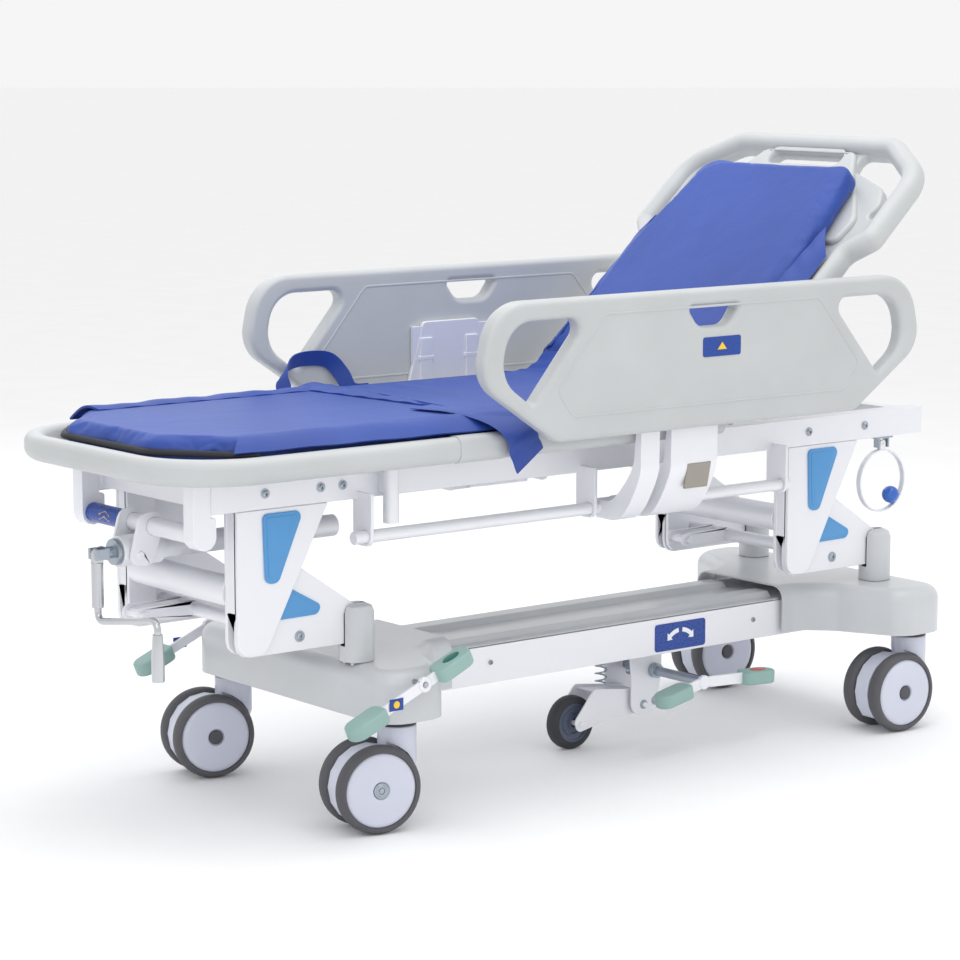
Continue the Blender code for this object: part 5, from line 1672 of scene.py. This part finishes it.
@dataclass
class SideRail:
    """A blow-moulded side rail with its windows, recess, label and folding arms."""

    side: Side
    y: float = 0.340
    thick: float = 0.034
    low: float = 0.634
    top: float = 0.874
    middle: float = -0.004
    half: float = 0.512

    @property
    def body(self) -> str:
        """The CAD body of the rail."""
        return f"rail_{self.side.word}"

    def outline(self) -> Outline:
        """The rail's outline in X and Z."""
        c, h = self.middle, self.half
        corners = [
            (c - h + 0.165, self.low, 0.050),
            (c + h - 0.165, self.low, 0.050),
            (c + h, self.top - 0.130, 0.062),
            (c + h - 0.028, self.top, 0.082),
            (c - h + 0.028, self.top, 0.082),
            (c - h, self.top - 0.130, 0.062),
        ]
        return rounded(corners, 10)

    def window(self, sign: int) -> Outline:
        """The D-shaped opening at one end."""
        outer = self.middle + sign * (self.half - 0.044)
        high = self.top - 0.034
        corners = [
            (outer - sign * 0.186, high, 0.018),
            (outer - sign * 0.020, high, 0.060),
            (outer, high - 0.092, 0.058),
            (outer - sign * 0.066, high - 0.140, 0.010),
        ]
        return rounded(corners, 8)

    def hand_hole(self, grow: float = 0.0) -> Outline:
        """The hand hole: straight above and curved below."""
        c, top = self.middle, self.top - 0.030 + grow
        corners = [
            (c - 0.060 - grow, top, 0.006),
            (c + 0.060 + grow, top, 0.006),
            (c + 0.034 + grow, top - 0.036 - 2 * grow, 0.032),
            (c - 0.034 - grow, top - 0.036 - 2 * grow, 0.032),
        ]
        return rounded(corners, 8)

    def recess(self) -> Outline:
        """The outline of the shallow step in the faces, between the windows."""
        c = self.middle
        corners = [
            (c - 0.318, 0.674, 0.016),
            (c + 0.318, 0.674, 0.016),
            (c + 0.355, 0.722, 0.020),
            (c + 0.250, 0.846, 0.020),
            (c - 0.250, 0.846, 0.020),
            (c - 0.355, 0.722, 0.020),
        ]
        return rounded(corners, 7)

    def panel(self) -> None:
        """Builds the moulding: rounded all round, with a lip along the recess."""
        s, half = self.side.value, self.thick / 2
        panel = Shape()
        panel.plate(
            self.outline(),
            s * self.y - half,
            s * self.y + half,
            Axis.Y,
            holes=[self.window(-1), self.window(1), self.hand_hole()],
            edge=0.0105,
            edge_steps=5,
        )
        panel.make(
            f"rail_panel_{self.side.word}", self.body, MOULDED, [f"side_rail_{self.side.word}"], smooth=40
        )
        for face in (-1, 1):
            lip = Shape()
            ridge = self.recess()
            height = s * self.y + face * (half - 0.0002)
            lip.plate(
                ridge, height - face * 0.001, height + face * 0.0011, Axis.Y, holes=[inset(ridge, 0.0040)],
                edge=0.0009, edge_steps=3,
            )
            word = "outer" if face == s else "inner"
            lip.make(f"rail_lip_{self.side.word}_{word}", self.body, MOULDED, weighted=False)

    def label(self) -> None:
        """Builds the blue plate with its plain yellow arrow head."""
        s = self.side.value
        face = s * (self.y + self.thick / 2)
        plate, head = arrow_label((0.012, 0.773), (0.088, 0.034), face, Axis.Y, s)
        plate.make(f"rail_label_{self.side.word}", self.body, LABEL)
        head.make(f"rail_arrow_{self.side.word}", self.body, YELLOW)

    def arms(self) -> None:
        """Builds the curved arms, the sleeve and the latch plate."""
        s = self.side.value
        y0, z0 = 0.208, 0.487
        outer = self.y - self.thick / 2 - 0.0006
        inside = smooth_line(
            [
                (y0 - 0.004, z0 + 0.016, 0), (y0 + 0.040, z0 + 0.020, 0), (outer - 0.026, z0 + 0.075, 0),
                (outer - 0.016, z0 + 0.125, 0), (outer - 0.012, self.low + 0.016, 0),
            ], 6
        )
        outside = smooth_line(
            [
                (outer, self.low + 0.030, 0), (outer, z0 + 0.110, 0), (outer - 0.006, z0 + 0.060, 0),
                (y0 + 0.062, z0 - 0.010, 0), (y0 - 0.004, z0 - 0.018, 0),
            ], 6
        )
        curve = [(s * p.x, p.y) for p in inside + outside]
        arms = Shape()
        arms.plate(curve, -0.141, -0.098, Axis.X, edge=0.0014)
        arms.plate(curve, -0.072, 0.037, Axis.X, edge=0.0014)
        plate = [(s * y, z) for y, z in rectangle((outer - 0.008, self.low + 0.014), (outer - 0.0005, self.top - 0.110), 0.002, 2)]
        arms.plate(plate, -0.150, 0.046, Axis.X, edge=0.001)
        arms.bar((-0.106, s * y0, z0), (0.030, s * y0, z0), 0.018)
        arms.make(f"rail_swing_arms_{self.side.word}", self.body, POWDER, [f"rail_arms_{self.side.word}"])
        self.cover_plate(s)

    def cover_plate(self, s: int) -> None:
        """Builds the latch cover on the rail's inner face and the release plate outside."""
        face = s * (self.y - self.thick / 2 - 0.0006)
        cover = Shape()
        corners = [
            (-0.162, 0.652, 0.006), (0.030, 0.652, 0.006), (0.006, 0.772, 0.010), (-0.126, 0.772, 0.010)
        ]
        cover.plate(rounded(corners, 5), face - s * 0.0085, face, Axis.Y, edge=0.0020, edge_steps=3)
        for x in (-0.120, -0.012):
            cover.block((x - 0.014, face - s * 0.012, 0.646), (x + 0.014, face - s * 0.008, 0.742), 0.0015)
            cover.block((x - 0.017, face - s * 0.0125, 0.700), (x + 0.017, face - s * 0.008, 0.708), 0.0012)
        cover.make(f"latch_cover_{self.side.word}", self.body, POWDER)
        release = Shape()
        foot = Vector((-0.006, s * 0.3166, 0.5450))
        release.block(foot + Vector((-0.027, -0.0022, -0.023)), foot + Vector((0.027, 0.0022, 0.023)), 0.0008)
        release.turned(s * -12, "X", foot)
        release.make(f"release_plate_{self.side.word}", self.body, STEEL)

    def build(self) -> None:
        """Builds the rail with everything on it."""
        self.panel()
        self.label()
        self.arms()


@dataclass
class Crank:
    """The folding crank of the lift screw."""

    hub_x: float = -1.005
    offset: float = 0.026
    z: float = 0.472
    throw: float = 0.180

    def build(self) -> None:
        """Builds the shaft, the arm and the grip."""
        x = self.hub_x - self.offset
        dressed_copy("crank_shaft_fork", "crank_shaft", "crank_shaft", ZINC, 0.0008)
        low, out = self.z - 0.1115, self.z - 0.0835
        rise = (out - low) / self.throw
        path = [
            (x, 0, self.z - 0.070),
            *self.elbow((x, 0, low), (0, 0, 1), (0, -1, rise)),
            *self.elbow((x, -self.throw, out), (0, 1, -rise), (0, 0, -1)),
            (x, -self.throw, self.z - 0.118),
        ]
        arm = Shape().pipe(path, 0.006, 24)
        arm.bar((x, 0, self.z - 0.0885), (x, 0, self.z - 0.014), 0.0100)
        arm.plate(
            rounded(
                [
                    (x - 0.0085, self.z - 0.018, 0), (x + 0.0085, self.z - 0.018, 0),
                    (x + 0.0085, self.z + 0.0085, 0.008), (x - 0.0085, self.z + 0.0085, 0.008),
                ],
                6,
            ),
            -0.0065, 0.0065, Axis.Y, edge=0.0006,
        )
        arm.make("crank_arm", "crank", CHROME, ["crank"])
        top = self.z - 0.105
        grip = Shape().turn_profile(
            [
                (0.0064, top), (0.0080, top), (0.0084, top - 0.002), (0.0104, top - 0.040),
                (0.0106, top - 0.0745), (0.0098, top - 0.0768), (0.0, top - 0.0768), (0.0, top - 0.030),
                (0.0064, top - 0.030),
            ],
            (x, -self.throw, 0),
        )
        grip.make("crank_grip_sleeve", "crank_grip", CHROME, ["crank_grip"])

    @staticmethod
    def elbow(
        corner: Sequence[float], back: Sequence[float], ahead: Sequence[float], bend: float = 0.018
    ) -> list[Vector]:
        """Points of a bend at a corner of the arm.

        Args:
            corner: the corner's place.
            back: the direction that the arm comes from.
            ahead: the direction that it leaves in.
            bend: how far from the corner the bend starts.

        Returns:
            The bend's points.
        """
        start, end = Vector(back).normalized() * bend, Vector(ahead).normalized() * bend
        return [Vector(corner) + start * (1 - t / 8) ** 2 + end * (t / 8) ** 2 for t in range(9)]


@dataclass
class HangingRing:
    """The ring under the head end of the near frame tube, with its ball."""

    x: float = 0.600
    y: float = -0.170
    pin_z: float = 0.5327
    radius: float = 0.0605

    def build(self) -> None:
        """Builds the ring and the ball."""
        centre = (self.x, self.pin_z - self.radius - 0.010)
        ring = Shape().plate(
            circle(centre, self.radius, 72), self.y - 0.0055, self.y + 0.0055, Axis.Y,
            holes=[circle(centre, self.radius - 0.0034, 72)], edge=0.0010,
        )
        ring.plate(
            rectangle(
                (self.x - 0.007, centre[1] + self.radius - 0.002), (self.x + 0.007, self.pin_z + 0.007),
                0.004,
            ),
            self.y - 0.0045, self.y + 0.0045, Axis.Y, holes=[circle((self.x, self.pin_z), 0.0012, 16)],
            edge=0.0008,
        )
        ring.make("hanging_ring", "ring", POWDER, ["ring_hook"])
        low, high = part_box("ring_ball")
        ball = Shape(0.0)
        bmesh.ops.create_icosphere(ball.mesh, subdivisions=4, radius=(high.x - low.x) / 2)
        ball.moved(Matrix.Translation((low + high) / 2)).make("ring_ball_blue", "ring", BALL, ["ring_ball"])


@dataclass
class Pedals:
    """The brake pedals at the foot end and the steering pedal under the beam."""

    brake_hub: tuple[float, float, float] = (-0.607, 0.320, 0.253)
    steer_hub: tuple[float, float, float] = (0.142, -0.178, 0.132)

    def pads(
        self, name: str, hub: Sequence[float], ends: Sequence[tuple[float, float, Finish]], body: str
    ) -> None:
        """Builds the rubber pads of a lever and the coloured ovals on them.

        Args:
            name: the first part of the pieces' names.
            hub: the middle of the lever's hub.
            ends: how far each pad is from the hub along X and Z, and its oval's finish.
            body: the body that the lever is on.
        """
        x, y, z = hub
        for i, (dx, dz, colour) in enumerate(ends):
            along = Vector((dx, dz)).normalized()
            tilt = math.degrees(math.atan2(-along.y, along.x))
            place = (x + dx, y, z + dz)
            pad = Shape().plate(
                rounded(
                    [
                        (-0.038, -0.0215, 0.014), (0.038, -0.0215, 0.021), (0.038, 0.0215, 0.021),
                        (-0.038, 0.0215, 0.014),
                    ],
                    7,
                ),
                -0.0125, 0.0125, edge=0.0045, edge_steps=4,
            )
            oval = [(0.017 * math.cos(a) + 0.002, 0.0095 * math.sin(a)) for a in [math.tau * k / 32 for k in range(32)]]
            spot = Shape().plate(oval, 0.0118, 0.0136, edge=0.0006)
            for shape, word, finish in ((pad, "pad", PAD), (spot, "oval", colour)):
                shape.moved(Matrix.Translation(place) @ Matrix.Rotation(math.radians(tilt), 4, "Y"))
                shape.make(f"{name}_{word}_{i + 1}", body, finish, weighted=False)

    def tags(self) -> None:
        """Builds the small blue tags with a yellow dot on the brake levers."""
        x, y, z = self.brake_hub
        for side in Side:
            tag, dot = Shape(), Shape()
            s = side.value
            tag.block((-0.014, -0.010, 0.0), (0.014, 0.010, 0.0010), 0.0004)
            dot.plate(circle((0.0, 0.0), 0.0060, 24), 0.0008, 0.0015)
            for shape, word, finish in ((tag, "tag", LABEL), (dot, "dot", YELLOW)):
                shape.moved(
                    Matrix.Translation(
                        (x - 0.060, s * (y + 0.0035), z - 0.025)
                    ) @ Matrix.Rotation(math.radians(-s * 90), 4, "X")
                )
                shape.make(f"brake_{word}_{side.word}", "brake", finish, weighted=False)

    def build(self) -> None:
        """Builds the levers, pads and shafts."""
        dressed_copy("brake_rod", "brake_shaft", "brake", ZINC, 0.0005)
        for side in Side:
            node = f"brake_pedal_{side.word}"
            dressed_copy(f"brake_lever_{side.word}", node, "brake", POWDER, 0.0010)
            hub = (self.brake_hub[0], side.value * self.brake_hub[1], self.brake_hub[2])
            self.pads(f"brake_{side.word}", hub, [(-0.118, -0.050, RED), (0.058, 0.026, GREEN)], "brake")
        self.tags()
        dressed_copy("steer_rod", "steer_shaft", "steer_pedal", ZINC, 0.0008)
        dressed_copy("steer_lever", "steer_pedal", "steer_pedal", POWDER, 0.0010)
        self.pads("steer", self.steer_hub, [(-0.074, -0.016, GREEN), (0.132, -0.006, RED)], "steer_pedal")


@dataclass
class SteeringWheel:
    """The sprung steering wheel under the beam."""

    x: float = -0.027
    radius: float = 0.050
    pivot: Point = (0.118, 0.070)
    bracket_y: float = 0.036

    def build(self) -> None:
        """Builds the bracket, fork, spring and wheel."""
        dressed_copy("steer_plates", "steer_bracket", "root", POWDER, 0.0012)
        dressed_copy("steer_fork_arms", "steer_fork", "steer_fork", POWDER, 0.0012)
        hub = (self.x, 0, self.radius)
        tyre = Shape().turn_profile(
            [
                (0.036, -0.0125), (0.044, -0.0122), (0.0485, -0.0095), (0.050, -0.004), (0.050, 0.004),
                (0.0485, 0.0095), (0.044, 0.0122), (0.036, 0.0125),
            ], hub, Axis.Y, 64
        )
        tyre.make("steer_tyre", "steer_wheel", RUBBER, ["steer_wheel"])
        web = Shape()
        for s in (-1, 1):
            web.turn_profile(
                [
                    (0.0085, 0.0), (0.0085, s * 0.0124), (0.0120, s * 0.0124), (0.0135, s * 0.0080),
                    (0.0200, s * 0.0070), (0.0215, s * 0.0100), (0.0240, s * 0.0100), (0.0255, s * 0.0075),
                    (0.0325, s * 0.0080), (0.0340, s * 0.0115), (0.0372, s * 0.0118), (0.0372, 0.0),
                ],
                hub,
                Axis.Y,
                56,
            )
        web.make("steer_web", "steer_wheel", WEB)
        coil = Shape()
        x, low, high, turns = self.x + 0.074, 0.1115, 0.1825, 5
        path = []
        for step in range(turns * 28 + 1):
            a, t = math.tau * step / 28, step / (turns * 28)
            path.append((x + 0.0105 * math.cos(a), 0.0105 * math.sin(a), low + (high - low) * t))
        coil.pipe(path, 0.0016, 10)
        coil.make("steer_coil", "root", ZINC, ["steer_spring"], smooth=60, weighted=False)
        for side in Side:
            row = Shape()
            for px, pz in ((0.118, 0.070), (0.146, 0.074), (0.118, 0.176), (0.150, 0.176)):
                row.take(bolt_head((px, side.value * (self.bracket_y + 0.0035), pz), side, 0.0066).mesh)
            row.make(f"steer_bolts_{side.word}", "root", ZINC)


@dataclass
class Studio:
    """A pale floor, soft lights and the camera."""

    eye: tuple[float, float, float] = (-3.425, -4.270, 1.3325)
    azimuth: float = 38.27
    down: float = 8.495
    lens: float = 115.9

    def camera(self) -> None:
        """Makes the camera and sets it as the scene's."""
        data = bpy.data.cameras.new("camera")
        data.sensor_width = 36.0
        data.lens = self.lens
        data.clip_end = 60.0
        camera = bpy.data.objects.new("camera", data)
        bpy.context.scene.collection.objects.link(camera)
        a, d = math.radians(self.azimuth), math.radians(self.down)
        ahead = Vector((math.sin(a) * math.cos(d), math.cos(a) * math.cos(d), -math.sin(d)))
        camera.location = self.eye
        camera.rotation_mode = "QUATERNION"
        camera.rotation_quaternion = ahead.to_track_quat("-Z", "Y")
        bpy.context.scene.camera = camera

    def light(
        self, name: str, place: Sequence[float], size: float, power: float, colour: str = "#FFFFFF"
    ) -> None:
        """Makes a square soft light that faces the cot.

        Args:
            name: the light's name.
            place: where it stands.
            size: the length of its side.
            power: its power in watts.
            colour: its colour.
        """
        data = bpy.data.lights.new(name, "AREA")
        data.size = size
        data.energy = power
        data.color = linear(colour)[:3]
        lamp = bpy.data.objects.new(name, data)
        lamp.location = place
        lamp.rotation_mode = "QUATERNION"
        lamp.rotation_quaternion = (Vector((0, 0, 0.45)) - Vector(place)).to_track_quat("-Z", "Y")
        bpy.context.scene.collection.objects.link(lamp)

    def build(self) -> None:
        """Builds the studio."""
        self.camera()
        floor = bpy.data.meshes.new("floor")
        ground = bmesh.new()
        bmesh.ops.create_grid(ground, x_segments=1, y_segments=1, size=250.0)
        ground.to_mesh(floor)
        ground.free()
        floor.materials.append(Finish("studio_floor", "", "#FCFCFD", "#FAFAFB", 0.75, 6.0, 0.0).material())
        plane = bpy.data.objects.new("floor", floor)
        bpy.context.scene.collection.objects.link(plane)
        world = bpy.data.worlds.new("studio_air")
        world.use_nodes = True
        air = world.node_tree.nodes["Background"]
        air.inputs["Color"].default_value = linear("#FFFFFF")
        air.inputs["Strength"].default_value = 0.92
        bpy.context.scene.world = world
        self.light("overhead", (0.2, -0.4, 3.4), 2.8, 46.0)
        self.light("key", (-2.6, -2.8, 2.4), 2.2, 16.0)
        self.light("back", (0.8, 3.4, 2.6), 2.4, 16.0, "#F4F7FF")
        scene = bpy.context.scene
        scene.view_settings.view_transform = "Standard"
        scene.view_settings.exposure = 0.0


def main() -> None:
    """Builds the cot piece by piece inside its studio."""
    logging.basicConfig(level=logging.INFO, format="%(name)s: %(message)s")
    Studio().build()
    castors = [
        Castor(End.FOOT, Side.NEAR, -12.0),
        Castor(End.FOOT, Side.FAR, -14.0),
        Castor(End.HEAD, Side.NEAR, -3.0),
        Castor(End.HEAD, Side.FAR, -5.0),
    ]
    for assembly in (
        *castors,
        Base(),
        LiftLinkage(),
        BedFrame(),
        Deck(),
        BackBoard(),
        Mattress(),
        SideRail(Side.NEAR),
        SideRail(Side.FAR),
        Crank(),
        HangingRing(),
        Pedals(),
        SteeringWheel(),
    ):
        assembly.build()


if __name__ == "__main__":
    main()
